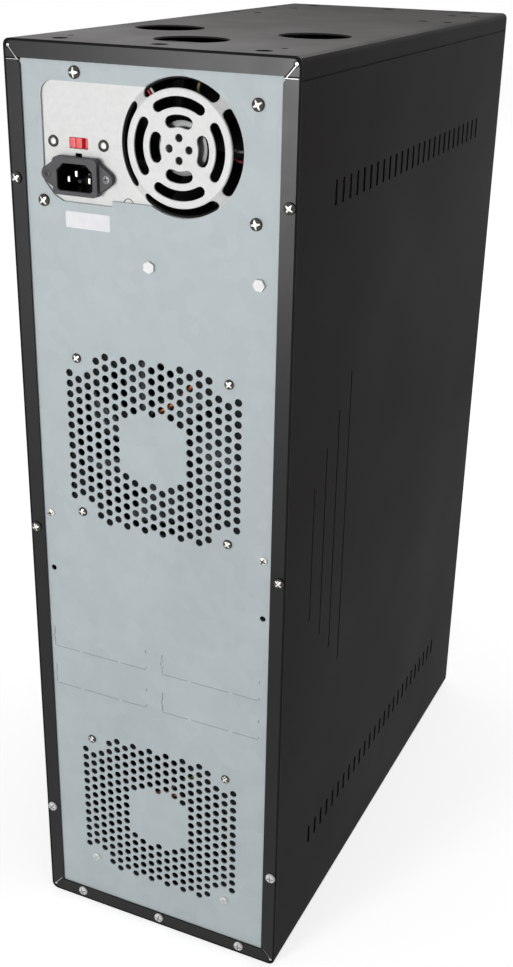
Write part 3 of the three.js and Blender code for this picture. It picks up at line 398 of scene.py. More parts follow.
    # Clear styrene of the indicator lamps, unlit.
    lamp = Finish("styrene_green_tint", "3f8f4c", "56a963", 0.0, (0.12, 0.2), 0.6, 2, 0.6, 0.005)
    # Pad-printed ink of the marks on the keys and the rocker: flat white.
    ink = Finish("pad_print_white", "d8d8d6", "e6e6e4", 0.0, (0.5, 0.6), 0.4, 2, 0.6, 0.005)
    # PVC ribbon cable: mid grey, satin.
    ribbon = Finish("pvc_ribbon_grey", "6d6f71", "7c7e80", 0.0, (0.45, 0.55), 0.45, 6, 0.8, 0.02)
    # Soft PVC of the wires: extruded, smooth and a little glossy.
    wires = {
        colour: Finish(f"pvc_wire_{colour}", deep, light, 0.0, (0.35, 0.45), 0.5, 4, 0.6, 0.01)
        for colour, deep, light in (
            ("orange", "e4793a", "ee8d50"), ("red", "c02a3a", "d03c4a"), ("yellow", "b9a23a", "c9b44c"),
            ("green", "3f7c4c", "4d8c5a"), ("black", "1b1b1c", "242425"), ("white", "d6d2d0", "e2dedc"),
            ("olive", "6f6c38", "7d7a44"), ("crimson", "5c1622", "6b1d2a"), ("grey", "5b5d5e", "68696a"),
        )
    }


class Facing(Enum):
    """The way that a flat outline faces: its two axes, then the axis of its depth."""

    REAR = (0, 2, 1)
    SIDE = (1, 2, 0)
    TOP = (0, 1, 2)

    def point(self, first: float, second: float, depth: float) -> Vector:
        """Turns outline coordinates and a depth to a place.

        Args:
            first: The place along the outline's first axis.
            second: The place along its second axis.
            depth: The place along the third axis.

        Returns:
            The point.
        """
        made = Vector()
        for axis, value in zip(self.value, (first, second, depth)):
            made[axis] = value
        return made


def circle(centre: Point, radius: float, sides: int = 16, turn: float = 0.0) -> Outline:
    """Returns a ring of corners round a centre."""
    steps = (turn + 2 * pi * i / sides for i in range(sides))
    return [(centre[0] + radius * cos(a), centre[1] + radius * sin(a)) for a in steps]


def arc(centre: Point, radius: float, start: float, end: float, steps: int) -> Outline:
    """Returns the points of an arc of so many steps, with both its ends, at angles in degrees."""
    angles = (radians(start + (end - start) * i / steps) for i in range(steps + 1))
    return [(centre[0] + radius * cos(a), centre[1] + radius * sin(a)) for a in angles]


def rounded(first: Span, second: Span, radius: float, steps: int = 4) -> Outline:
    """Draws a rectangle with round corners.

    Args:
        first: The places along the first axis that it lies between.
        second: Those along the second axis.
        radius: The corners' radius.
        steps: How many chords a corner has.

    Returns:
        The outline.
    """
    (left, right), (low, high) = first, second
    corners = (
        ((right - radius, low + radius), -90), ((right - radius, high - radius), 0),
        ((left + radius, high - radius), 90), ((left + radius, low + radius), 180),
    )
    return [p for centre, start in corners for p in arc(centre, radius, start, start + 90, steps)]


def arc_slot(centre: Point, radii: Span, middle: float, half: float, steps: int = 12) -> Outline:
    """Draws a bent slot with round ends.

    Args:
        centre: The centre that it bends round.
        radii: Its inner and outer radius.
        middle: The angle of its middle, in degrees.
        half: Half the angle that it spans, round ends included.
        steps: How many chords each long side has.

    Returns:
        The outline.
    """
    inner, outer = radii
    cap, along = (outer - inner) / 2, (outer + inner) / 2
    reach = half - degrees(cap / along)
    turns = (middle + reach, middle - reach)
    ends = [arc(centre, along, turn, turn, 1)[0] for turn in turns]
    far = arc(ends[0], cap, turns[0], turns[0] + 180, 5)[1:-1]
    near = arc(ends[1], cap, turns[1] + 180, turns[1] + 360, 5)[1:-1]
    rims = arc(centre, outer, turns[1], turns[0], steps), arc(centre, inner, turns[0], turns[1], steps)
    return rims[0] + far + rims[1] + near


def about(middle: float, length: float) -> Span:
    """Returns the stretch of a length about a middle."""
    return middle - length / 2, middle + length / 2


def mirrored(span: Span) -> tuple[Span, Span]:
    """Returns a stretch and its mirror image on the other side of zero."""
    return span, (-span[1], -span[0])


def shift(x: float, y: float, z: float) -> Matrix:
    """Returns a move."""
    return Matrix.Translation((x, y, z))


def before(place: float, axis: int = 1) -> EdgeTest:
    """Returns a test for edges that lie wholly before a place along an axis."""
    return lambda edge: all(v.co[axis] < place for v in edge.verts)


def beyond(place: float, axis: int = 1) -> EdgeTest:
    """Returns a test for edges that lie wholly beyond a place along an axis."""
    return lambda edge: all(v.co[axis] > place for v in edge.verts)


def slab(outlines: list[Outline], depth: Span, facing: Facing = Facing.REAR) -> Mesh:
    """Fills flat outlines and gives them a depth. An outline inside another one is a hole in it.

    Args:
        outlines: The loops of corners.
        depth: The places along the third axis that the solid lies between.
        facing: The way that they face.

    Returns:
        The closed solid.
    """
    bm = bmesh.new()
    for loop in outlines:
        corners = [bm.verts.new(facing.point(a, b, depth[0])) for a, b in loop]
        for first, second in zip(corners, corners[1:] + corners[:1]):
            bm.edges.new((first, second))
    normal = facing.point(0, 0, 1)
    bmesh.ops.triangle_fill(bm, use_beauty=True, use_dissolve=False, edges=bm.edges[:], normal=normal)
    grown = bmesh.ops.extrude_face_region(bm, geom=bm.faces[:])["geom"]
    risen = [v for v in grown if isinstance(v, bmesh.types.BMVert)]
    bmesh.ops.translate(bm, vec=normal * (depth[1] - depth[0]), verts=risen)
    bmesh.ops.recalc_face_normals(bm, faces=bm.faces[:])
    return bm


def block(x: Span, y: Span, z: Span) -> Mesh:
    """Draws a plain block, to be cut, joined or softened.

    Args:
        x: The places along X that it lies between.
        y: Those along Y.
        z: Those along Z.

    Returns:
        The block.
    """
    bm = bmesh.new()
    size = Vector((x[1] - x[0], y[1] - y[0], z[1] - z[0]))
    middle = Vector((sum(x), sum(y), sum(z))) / 2
    bmesh.ops.create_cube(bm, size=1.0, matrix=Matrix.Translation(middle) @ Matrix.Diagonal((*size, 1)))
    return bm


def spun(profile: Outline, steps: int = 24) -> Mesh:
    """Spins a profile round the Y axis.

    Args:
        profile: Points of radius and height, from the axis out and back to the axis or to the start.
        steps: How many steps the turn has.

    Returns:
        The closed solid.
    """
    bm = bmesh.new()
    corners = [bm.verts.new((radius, height, 0)) for radius, height in profile]
    edges = [bm.edges.new(pair) for pair in zip(corners, corners[1:])]
    bmesh.ops.spin(
        bm, geom=corners + edges, cent=(0, 0, 0), axis=(0, 1, 0), angle=2 * pi, steps=steps, use_merge=True
    )
    bmesh.ops.remove_doubles(bm, verts=bm.verts[:], dist=0.0005)
    bmesh.ops.recalc_face_normals(bm, faces=bm.faces[:])
    return bm


def merged(*parts: Mesh) -> Mesh:
    """Puts meshes into one, side by side, and frees them.

    Args:
        parts: The meshes.

    Returns:
        The one mesh.
    """
    whole = bmesh.new()
    for part in parts:
        rough = bpy.data.meshes.new("rough")
        part.to_mesh(rough)
        whole.from_mesh(rough)
        part.free()
        bpy.data.meshes.remove(rough)
    return whole


def combined(base: Mesh, tool: Mesh, operation: str = "DIFFERENCE") -> Mesh:
    """Cuts a tool out of a base, or joins it to the base, and frees both.

    Args:
        base: The solid that is kept.
        tool: The solid that cuts it or joins it.
        operation: DIFFERENCE or UNION.

    Returns:
        The result.
    """
    bodies = []
    for source in (base, tool):
        rough = bpy.data.meshes.new("rough")
        source.to_mesh(rough)
        source.free()
        body = bpy.data.objects.new("rough", rough)
        bpy.context.scene.collection.objects.link(body)
        bodies.append(body)
    modifier = bodies[0].modifiers.new("join", "BOOLEAN")
    modifier.object, modifier.operation, modifier.solver = bodies[1], operation, "EXACT"
    result = bmesh.new()
    result.from_object(bodies[0], bpy.context.evaluated_depsgraph_get())
    for body in bodies:
        rough = body.data
        bpy.data.objects.remove(body)
        bpy.data.meshes.remove(rough)
    return result


def soften(bm: Mesh, width: float, segments: int = 2, wanted: EdgeTest | None = None) -> Mesh:
    """Rounds the edges where two faces meet at more than 30 degrees.

    Args:
        bm: The mesh, which is changed.
        width: The width of the round.
        segments: How many faces the round has.
        wanted: Says which of those edges are rounded, or None for all of them.

    Returns:
        The same mesh.
    """
    limit = radians(30)
    edges = [e for e in bm.edges if e.is_manifold and e.calc_face_angle(0) > limit]
    if wanted is not None:
        edges = [e for e in edges if wanted(e)]
    bmesh.ops.bevel(
        bm, geom=edges, offset=width, offset_type="OFFSET", affect="EDGES", segments=segments, profile=0.5,
        clamp_overlap=True, material=-1,
    )
    return bm


def slabs(loops: list[Outline], spans: tuple[Span, ...]) -> Mesh:
    """Returns each outline filled by itself, at each of the depths."""
    return merged(*[slab([loop], span) for loop in loops for span in spans])


def moved(bm: Mesh, matrix: Matrix) -> Mesh:
    """Copies a mesh and moves the copy.

    Args:
        bm: The mesh, which stays.
        matrix: The move.

    Returns:
        The copy.
    """
    made = bm.copy()
    made.transform(matrix)
    return made


def tube(points: list[Vector], radius: float) -> Mesh:
    """Draws a tube of eight sides along a smooth line through points.

    Args:
        points: The points that the line goes through.
        radius: The tube's radius.

    Returns:
        The tube.
    """
    curve = bpy.data.curves.new("rough", "CURVE")
    curve.dimensions = "3D"
    curve.bevel_depth, curve.bevel_resolution, curve.use_fill_caps = radius, 1, True
    spline = curve.splines.new("BEZIER")
    spline.bezier_points.add(len(points) - 1)
    spline.resolution_u = 6
    for bezier, point in zip(spline.bezier_points, points):
        bezier.co = point
        bezier.handle_left_type = bezier.handle_right_type = "AUTO"
    body = bpy.data.objects.new("rough", curve)
    bpy.context.scene.collection.objects.link(body)
    made = bpy.data.meshes.new_from_object(body.evaluated_get(bpy.context.evaluated_depsgraph_get()))
    bm = bmesh.new()
    bm.from_mesh(made)
    bmesh.ops.remove_doubles(bm, verts=bm.verts[:], dist=radius / 100)
    bmesh.ops.recalc_face_normals(bm, faces=bm.faces[:])
    bpy.data.objects.remove(body)
    bpy.data.curves.remove(curve)
    bpy.data.meshes.remove(made)
    return bm


def piece(
    name: str, bm: Mesh, finish: Finish, body: str = CASE, stands_for: tuple[str, ...] = ()
) -> None:
    """Makes one piece from a mesh in millimetres, and frees the mesh.

    Args:
        name: The piece's name.
        bm: Its mesh.
        finish: Its finish.
        body: The body that it rides on.
        stands_for: The nodes that it replaces.
    """
    bm.transform(Matrix.Scale(MM, 4))
    mesh = bpy.data.meshes.new(name)
    bm.to_mesh(mesh)
    bm.free()
    mesh.materials.append(finish.material())
    mesh.shade_smooth()
    mesh.set_sharp_from_angle(angle=radians(CREASE))
    made = bpy.data.objects.new(name, mesh)
    bpy.context.scene.collection.objects.link(made)
    even = made.modifiers.new("even_normals", "WEIGHTED_NORMAL")
    even.keep_sharp = True
    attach(made, body)
    if stands_for:
        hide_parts(*stands_for)
    LOG.info("%s: %d faces on %s", name, len(mesh.polygons), body)


def dress(names: tuple[str, ...], finish: Finish) -> None:
    """Gives nodes of the model, whose own shape is shown, a finish.

    Args:
        names: The nodes.
        finish: Their finish.
    """
    for name in names:
        for place in frame["nodes"][name].material_slots:
            place.material = finish.material()
        LOG.info("%s: keeps its own mesh", name)


@dataclass
class PanScrew:
    """A cross-recessed pan head, drawn on the Y axis with its seat at zero."""

    radius: float = 3.0
    height: float = 2.0
    recess_width: float = 0.9
    recess_share: float = 0.62
    recess_depth: float = 1.1
    sunk: float = 0.12

    def dome(self) -> Mesh:
        """Returns the head without its cross."""
        curve = ((0, 1), (0.4, 0.97), (0.72, 0.84), (0.93, 0.6), (1, 0.3), (1, 0), (0, 0))
        return spun([(across * self.radius, up * self.height) for across, up in curve], 20)

    def cross(self, low: float, high: float) -> Mesh:
        """Draws the cross of the recess.

        Args:
            low: The height that it starts at.
            high: The height that it ends at.

        Returns:
            The cross as a solid.
        """
        arm = self.recess_share * self.radius
        bars = [
            block((-arm, arm), (low, high), about(0, self.recess_width)),
            block(about(0, self.recess_width), (low, high), (-arm, arm)),
        ]
        return combined(bars[0], bars[1], "UNION")

    def head(self) -> Mesh:
        """Returns the head with its cross."""
        return combined(self.dome(), self.cross(self.height - self.recess_depth, self.height + SHEET))

    def lining(self) -> Mesh:
        """Returns a skin in the cross, a little below the dome, whose finish paints the cross: a painted
        glint where it is brighter than the dome, painted shade where it is darker.
        """
        lowered = moved(self.dome(), shift(0, -self.sunk, 0))
        return combined(self.cross(self.height - self.recess_depth - 0.02, self.height), lowered, "INTERSECT")

    def build(
        self,
        name: str,
        places: Sequence[Point],
        seat: float,
        turns: Sequence[float],
        finishes: tuple[Finish, Finish],
        back: bool = False,
    ) -> None:
        """Builds heads and the painted skins in their crosses.

        Args:
            name: The name of the heads' piece.
            places: X and Z of each head.
            seat: The Y that the heads sit on.
            turns: The turn of each head's cross, in degrees.
            finishes: The finish of the domes and that of the crosses.
            back: Whether the heads face the front instead of the rear.
        """
        flip = Matrix.Rotation(pi, 4, "Z") if back else Matrix.Identity(4)
        spins = [Matrix.Rotation(radians(turn), 4, "Y") for turn in turns]
        for ending, part, finish in zip(("", "_crosses"), (self.head(), self.lining()), finishes):
            copies = [moved(part, shift(x, seat, z) @ flip @ spin) for (x, z), spin in zip(places, spins)]
            part.free()
            piece(name + ending, merged(*copies), finish)


@dataclass
class SheetCase:
    """What the shell and the cover share: bent walls, folds, and flanges with mitred corners.

    base is the height of the outer face that the walls stand on, and up the way that they stand on it.
    """

    base: float = 0.0
    up: int = 1
    bend: float = 5.0
    wall_end: float = 604.2
    flange_end: float = 605.3
    flat_past: float = 1.0
    flange: float = 10.5
    fold: float = 1.3
    mitre_gap: float = 1.1
    mitre_depth: float = 0.7
    mitre_ends: Mitre = ((9.3, 11.2), (3.1, 4.0))
    relief: float = 1.7
    edge_width: float = 0.42
    edge_sunk: float = 0.25
    core: float = 0.95

    def bent(self, inset: float, radius: float, end: float) -> Outline:
        """Draws the case's U: two legs, and the bends where they meet its base or its top.

        Args:
            inset: How far inside the outer face it lies.
            radius: The radius of the bends.
            end: The height that the legs end at.

        Returns:
            The points from one leg's end to the other's, in X and Z.
        """
        half, foot, start = HALF_WIDTH - inset, self.base + self.up * inset, 90 + 90 * self.up
        bends = []
        for side in (-self.up, self.up):
            bends += arc((side * (half - radius), foot + self.up * radius), radius, start, start + 90, 6)
            start += 90
        return [(-self.up * half, end), *bends, (self.up * half, end)]

    def wall(self) -> Mesh:
        """Returns the bent sheet without its flanges."""
        outer, inner = (self.bent(depth, self.bend - depth, self.wall_end) for depth in (0, SHEET))
        return slab([outer + inner[::-1]], (FRONT, REAR))

    def on_fold(self, edge: Edge) -> bool:
        """Says whether an edge lies where a wall or a bend turns into a flange.

        Args:
            edge: The edge.

        Returns:
            Whether both its ends lie on the case's outside, at its rear or its front.
        """
        for vert in edge.verts:
            x, rise = abs(vert.co.x) - HALF_WIDTH, self.up * (vert.co.z - self.base)
            in_bend = x > -self.bend and rise < self.bend
            on_bend = in_bend and abs(hypot(x + self.bend, rise - self.bend) - self.bend) < 0.02
            if abs(abs(vert.co.y) - REAR) >= 0.01 or not (x > -0.01 or rise < 0.01 or on_bend):
                return False
        return True

    def corners(self) -> list[Mitre]:
        """Returns the inner and outer end of each mitre, in X and Z."""
        ends = [(HALF_WIDTH - x, self.base + self.up * z) for x, z in self.mitre_ends]
        return [tuple((side * x, z) for x, z in ends) for side in (1, -1)]

    def keyhole(self, mitre: Mitre, width: float, ring: float, lead: float) -> Outline:
        """Draws a mitre: a bar with a round hole at its outer end.

        Args:
            mitre: The middle of the bar's inner end, and of the hole.
            width: The bar's width.
            ring: The hole's radius.
            lead: How far the bar runs on past its inner end.

        Returns:
            The outline.
        """
        inner, outer = (Vector(end) for end in mitre)
        along = (outer - inner).normalized()
        side = Vector((-along.y, along.x)) * width / 2
        start = inner - along * lead
        turn = degrees(atan2(along.y, along.x)) + 180
        meets = degrees(asin(width / 2 / ring))
        hole = arc(mitre[1], ring, turn + meets, turn + 360 - meets, 14)
        return [tuple(start + side), tuple(start - side), *hole]

    def mitres(self) -> Mesh:
        """Returns the cutters of the mitres in both flanges."""
        loops = [self.keyhole(mitre, self.mitre_gap, self.relief, 1.0) for mitre in self.corners()]
        return slabs(loops, mirrored((REAR - self.mitre_depth, REAR + 1)))

    def mitre_floors(self) -> Mesh:
        """Returns the floors of the mitres, which lie in shadow and take the near-black painted shade."""
        loops = [self.keyhole(m, self.mitre_gap - 0.06, self.relief - 0.03, 0.9) for m in self.corners()]
        return slabs(loops, mirrored((REAR - self.mitre_depth - 0.05, REAR - 0.4)))

    def mitre_metal(self) -> Mesh:
        """Draws the bare sheet edges in the mitres: a line along the outer side, and the hole's core.

        Returns:
            The edges at both ends of the case.
        """
        loops = []
        for inner, outer in self.corners():
            start, end = Vector(inner), Vector(outer)
            along = (end - start).normalized()
            side = Vector((-along.y, along.x)) * copysign(1, -along.y * end.x)
            near, far = side * (self.mitre_gap / 2 - self.edge_width), side * self.mitre_gap / 2
            loops.append([tuple(p) for p in (start + near, start + far, end + far, end + near)])
            loops.append(circle(outer, self.core, 14))
        return slabs(loops, mirrored((REAR - self.mitre_depth - 0.05, REAR - self.edge_sunk)))

    def rim(self, depth: Span) -> Mesh:
        """Returns the flange at one end of the case, between two places along Y."""
        raise NotImplementedError

    def sheet(self, *cutters: Mesh) -> tuple[Mesh, Mesh, Mesh]:
        """Makes the whole sheet, and parts the flat flanges and the folds round them from the walls.

        Args:
            cutters: What is cut out of the sheet besides the mitres.

        Returns:
            The walls, the folds and the flanges.
        """
        whole = self.wall()
        for depth in ((REAR - SHEET, REAR), (FRONT, FRONT + SHEET)):
            whole = combined(whole, self.rim(depth), "UNION")
        whole = soften(whole, self.fold, 3, self.on_fold)
        for cutter in (*cutters, self.mitres()):
            whole = combined(whole, cutter)
        flat = self.bent(self.fold + 0.1, self.bend, self.flange_end + self.up * self.flat_past)
        room = slabs([flat], mirrored((REAR - SHEET - 0.01, REAR + 1)))
        rest, flanges = combined(whole.copy(), room.copy()), combined(whole, room, "INTERSECT")
        bands = mirrored((REAR - self.fold, REAR + 1))
        ends = merged(*[block(about(0, 3 * HALF_WIDTH), span, about(TOP / 2, 2 * TOP)) for span in bands])
        return combined(rest.copy(), ends.copy()), combined(rest, ends, "INTERSECT"), flanges


@dataclass
class OuterShell(SheetCase):
    """Sides and base in one sheet, with vent slots, pressed lines and flanges round both ends."""

    joint_edge: Span = (605.35, 605.75)
    flange_corner: float = 3.0
    vent_count: int = 26
    vent_first: float = 57.0
    vent_pitch: float = 11.64
    vent: Point = (3.4, 15.0)
    vent_rows: tuple[float, float] = (74.8, 537.5)
    line_count: int = 4
    line_first: float = 41.0
    line_pitch: float = 19.0
    line_shortest: float = 95.0
    line_growth: float = 40.3
    line_middle: float = 308.5
    line_width: float = 2.8
    line_depth: float = 0.6

    def rim(self, depth: Span) -> Mesh:
        """Draws the flange at one end, whose upper inner corners are round.

        Args:
            depth: The places along Y that it lies between.

        Returns:
            The flange.
        """
        far, c, end = HALF_WIDTH - self.flange, self.flange_corner, self.flange_end
        inner = [
            *arc((far + c, end - c), c, 90, 180, 4), (far, self.flange), (-far, self.flange),
            *arc((-far - c, end - c), c, 0, 90, 4),
        ]
        return slab([self.bent(0, self.bend, end) + inner], depth)

    def joint_metal(self) -> Mesh:
        """Draws the bare upper edges of the flanges, which show under the cover.

        Returns:
            The four edges.
        """
        sides = mirrored((HALF_WIDTH - self.flange + 0.5, HALF_WIDTH - self.fold - 0.3))
        edges = [block(x, y, self.joint_edge) for x in sides for y in mirrored((REAR - 0.75, REAR - 0.1))]
        return merged(*[soften(edge, 0.08, 1) for edge in edges])

    def lines(self, inset: float = 0.0) -> list[Outline]:
        """Draws the pressed lines, each longer than the one behind it.

        Args:
            inset: How much narrower and shorter they are drawn.

        Returns:
            Their outlines, in Y and Z.
        """
        found = []
        for i in range(self.line_count):
            along = about(REAR - self.line_first - i * self.line_pitch, self.line_width - inset)
            upright = about(self.line_middle, self.line_shortest + i * self.line_growth - inset)
            found.append(rounded(along, upright, 0.9, 3))
        return found

    def slots(self) -> Mesh:
        """Draws the cutters of the vents and of the pressed lines.

        Returns:
            The cutters for both sides.
        """
        wide, tall = self.vent
        vents = [
            rounded(about(REAR - self.vent_first - i * self.vent_pitch, wide), about(z, tall), 1.2, 3)
            for z in self.vent_rows
            for i in range(self.vent_count)
        ]
        reach = HALF_WIDTH + 2
        skins = mirrored((HALF_WIDTH - self.line_depth, reach))
        pressed = [slab(self.lines(), skin, Facing.SIDE) for skin in skins]
        return merged(slab(vents, (-reach, reach), Facing.SIDE), *pressed)

    def line_floors(self) -> Mesh:
        """Returns the floors of the pressed lines, which take the near-black painted shade."""
        floors = mirrored((HALF_WIDTH - self.line_depth - 0.05, HALF_WIDTH - 0.3))
        return merged(*[slab(self.lines(0.1), span, Facing.SIDE) for span in floors])

    def build(self) -> None:
        """Builds the shell, its folds and lines in near-black painted shade, and the bare edges in its mitres
        and joints.
        """
        walls, folds, flanges = self.sheet(self.slots())
        piece("shell_sheet", walls, Finishes.powder, stands_for=("outer_shell",))
        piece("shell_folds_painted_shade", folds, Finishes.fold)
        piece("shell_flanges", flanges, Finishes.flange)
        piece("shell_line_floors_painted_shade", self.line_floors(), Finishes.fold)
        piece("shell_joint_edges", self.joint_metal(), Finishes.raw_edge)
        piece("shell_mitre_edges", self.mitre_metal(), Finishes.raw_edge)
        piece("shell_mitre_floors_painted_shade", self.mitre_floors(), Finishes.fold)


@dataclass
class TopCover(SheetCase):
    """The cover: skirts, flanges with mitred corners, three large holes, small holes and sunk screws."""

    base: float = TOP
    up: int = -1
    bend: float = 4.0
    wall_end: float = 605.4
    flange_end: float = 605.8
    flat_past: float = 0.5
    joint: Span = (606.0, 606.65)
    bend_half: float = 1.17
    hole_radius: float = 22.5
    holes: tuple[Point, ...] = ((50, 85), (-50, 85), (0, 151))
    stud_radius: float = 3.5
    stud_x: tuple[float, ...] = (-83, -65, 65, 83)
    stud_y: tuple[float, ...] = (-80, -149)
    pin_radius: float = 2.0
    pins: tuple[Point, ...] = ((-67.7, 171), (69.5, 171))
    screws: tuple[Point, ...] = (
        (-63.7, 189.5), (0, 189.5), (65, 189.5), (-64.5, -189), (0, -189), (64.5, -189),
    )
    dimple: float = 5.0
    dimple_depth: float = 1.25

    def rim(self, depth: Span) -> Mesh:
        """Draws the flange at one end, with short legs down to the shell's flange.

        Args:
            depth: The places along Y that it lies between.

        Returns:
            The flange.
        """
        near, low, end = HALF_WIDTH - self.flange, TOP - self.flange, self.flange_end
        legs = [(-near, end), (-near, low), (near, low), (near, end)]
        return slab([self.bent(0, self.bend, end) + legs], depth)

    def holes_and_dimples(self) -> Mesh:
        """Draws the cutters of all the holes and of the screws' dimples.

        Returns:
            The cutters.
        """
        rings = [circle(hole, self.hole_radius, 48) for hole in self.holes]
        rings += [circle((x, y), self.stud_radius, 20) for x in self.stud_x for y in self.stud_y]
        rings += [circle(pin, self.pin_radius, 14) for pin in self.pins]
        dimples = bmesh.new()
        low, height = self.dimple - self.dimple_depth, 2 * self.dimple_depth
        for x, y in self.screws:
            bmesh.ops.create_cone(
                dimples, cap_ends=True, segments=24, radius1=low, radius2=low + height, depth=height,
                matrix=shift(x, y, TOP - self.dimple_depth + height / 2),
            )
        return merged(slab(rings, (TOP - 3, TOP + 2), Facing.TOP), dimples)

    def joints(self, reach: Span, start: float) -> Mesh:
        """Draws the grooves over the shell's flanges.

        Args:
            reach: How far they reach below and above the flange's face.
            start: How far they start past the flange's inner edge.

        Returns:
            The grooves as solids.
        """
        sides = mirrored((HALF_WIDTH - self.flange + start, HALF_WIDTH - self.fold - 0.2))
        spans = mirrored((REAR - reach[0], REAR + reach[1]))
        return merged(*[block(side, span, self.joint) for side in sides for span in spans])

    def laps(self) -> Mesh:
        """Draws the cover's tongues, which lie inside the shell and close the seam under each skirt.

        Returns:
            The tongues of both sides.
        """
        spans = mirrored((HALF_WIDTH - SHEET - 0.35, HALF_WIDTH - SHEET - 0.03))
        height = (self.wall_end - 2.4, self.wall_end + 1.2)
        return merged(*[soften(block(span, (FRONT + 1.2, REAR - 1.2), height), 0.1, 1) for span in spans])

    def dimple_walls(self) -> Mesh:
        """Draws the walls of the dimples, a hair above the sheet that they lie on, which take the near-black
        painted shade.

        Returns:
            The walls of all dimples.
        """
        rise = self.dimple_depth - 0.03
        low = self.dimple - self.dimple_depth
        slope = [(low - 0.1, 0.0), (low + rise - 0.1, rise), (low + rise, rise), (low, 0.0)]
        wall = spun([*slope, slope[0]], 24)
        up = Matrix.Rotation(pi / 2, 4, "X")
        walls = [moved(wall, shift(x, y, TOP - self.dimple_depth) @ up) for x, y in self.screws]
        wall.free()
        return merged(*walls)

    def screw_heads(self) -> Mesh:
        """Turns flat screw heads at random and lays them in the dimples, below the top.

        Returns:
            The heads.
        """
        head = PanScrew(3.72, 0.45, 0.8, 0.6, 0.3).head()
        up = Matrix.Rotation(pi / 2, 4, "X")
        spin = random.Random(5)
        heads = []
        for x, y in self.screws:
            turn = Matrix.Rotation(spin.uniform(0, pi), 4, "Z")
            heads.append(moved(head, shift(x, y, TOP - self.dimple_depth - 0.1) @ turn @ up))
        head.free()
        return merged(*heads)

    def build(self) -> None:
        """Builds the cover, its skirts, laps and folds, its sunk screws and the bare edges in its mitres; the
        laps, folds, mitre floors and dimple walls take the near-black painted shade.
        """
        groove = self.joints((self.mitre_depth, 1.0), -1.0)
        walls, folds, flanges = self.sheet(self.holes_and_dimples(), groove)
        drop = (self.wall_end - 1, TOP - self.bend_half)
        spans = mirrored((HALF_WIDTH - self.bend_half, HALF_WIDTH + 1))
        sides = merged(*[block(span, (2 * FRONT, 2 * REAR), drop) for span in spans])
        skirts = combined(walls.copy(), sides.copy(), "INTERSECT")
        # The top sheet's lighter, warmer coat is painted light.
        piece("cover_sheet", combined(walls, sides), Finishes.cover, stands_for=("top_cover",))
        piece("cover_skirts", skirts, Finishes.powder)
        piece("cover_laps_painted_shade", self.laps(), Finishes.fold)
        piece("cover_folds_painted_shade", folds, Finishes.fold)
        piece("cover_flanges", flanges, Finishes.flange)
        piece("cover_mitre_edges", self.mitre_metal(), Finishes.raw_edge)
        floors = merged(self.mitre_floors(), self.joints((self.mitre_depth + 0.05, -0.4), 0.5))
        piece("cover_mitre_floors_painted_shade", floors, Finishes.fold)
        piece("cover_screws", self.screw_heads(), Finishes.oxide)
        piece("cover_dimples_painted_shade", self.dimple_walls(), Finishes.fold)


@dataclass
class FanGrille:
    """The punched field over a case fan: columns of round holes, every second column half a pitch up."""

    column_pitch: float = 6.5
    hole_pitch: float = 7.0
    side_columns: int = 9
    half_height: float = 56.1
    hub: float = 24.25
    screw_offset: float = 52.5
    screw_clear: float = 10.0
    hole: float = 2.5

    def holes(self, middle: float) -> list[Outline]:
        """Lays out the holes of a field, clear of its hub and its screws.

        Args:
            middle: The height of its middle.

        Returns:
            The holes' outlines.
        """
        found = []
        rows = ceil(self.half_height / self.hole_pitch)
        for column in range(-self.side_columns, self.side_columns + 1):
            shift_up = self.hole_pitch / 2 if column % 2 == 0 else 0.0
            x = column * self.column_pitch
            for row in range(-rows, rows + 1):
                z = row * self.hole_pitch + shift_up
                off_screw = hypot(abs(x) - self.screw_offset, abs(z) - self.screw_offset)
                clear = hypot(x, z) > self.hub and off_screw > self.screw_clear
                if abs(z) <= self.half_height and clear:
                    found.append(circle((x, middle + z), self.hole, 14))
        return found

    def screws(self, middle: float) -> list[Point]:
        """Returns the places of the four fan screws."""
        return [(x, z) for x in about(0, 2 * self.screw_offset) for z in about(middle, 2 * self.screw_offset)]


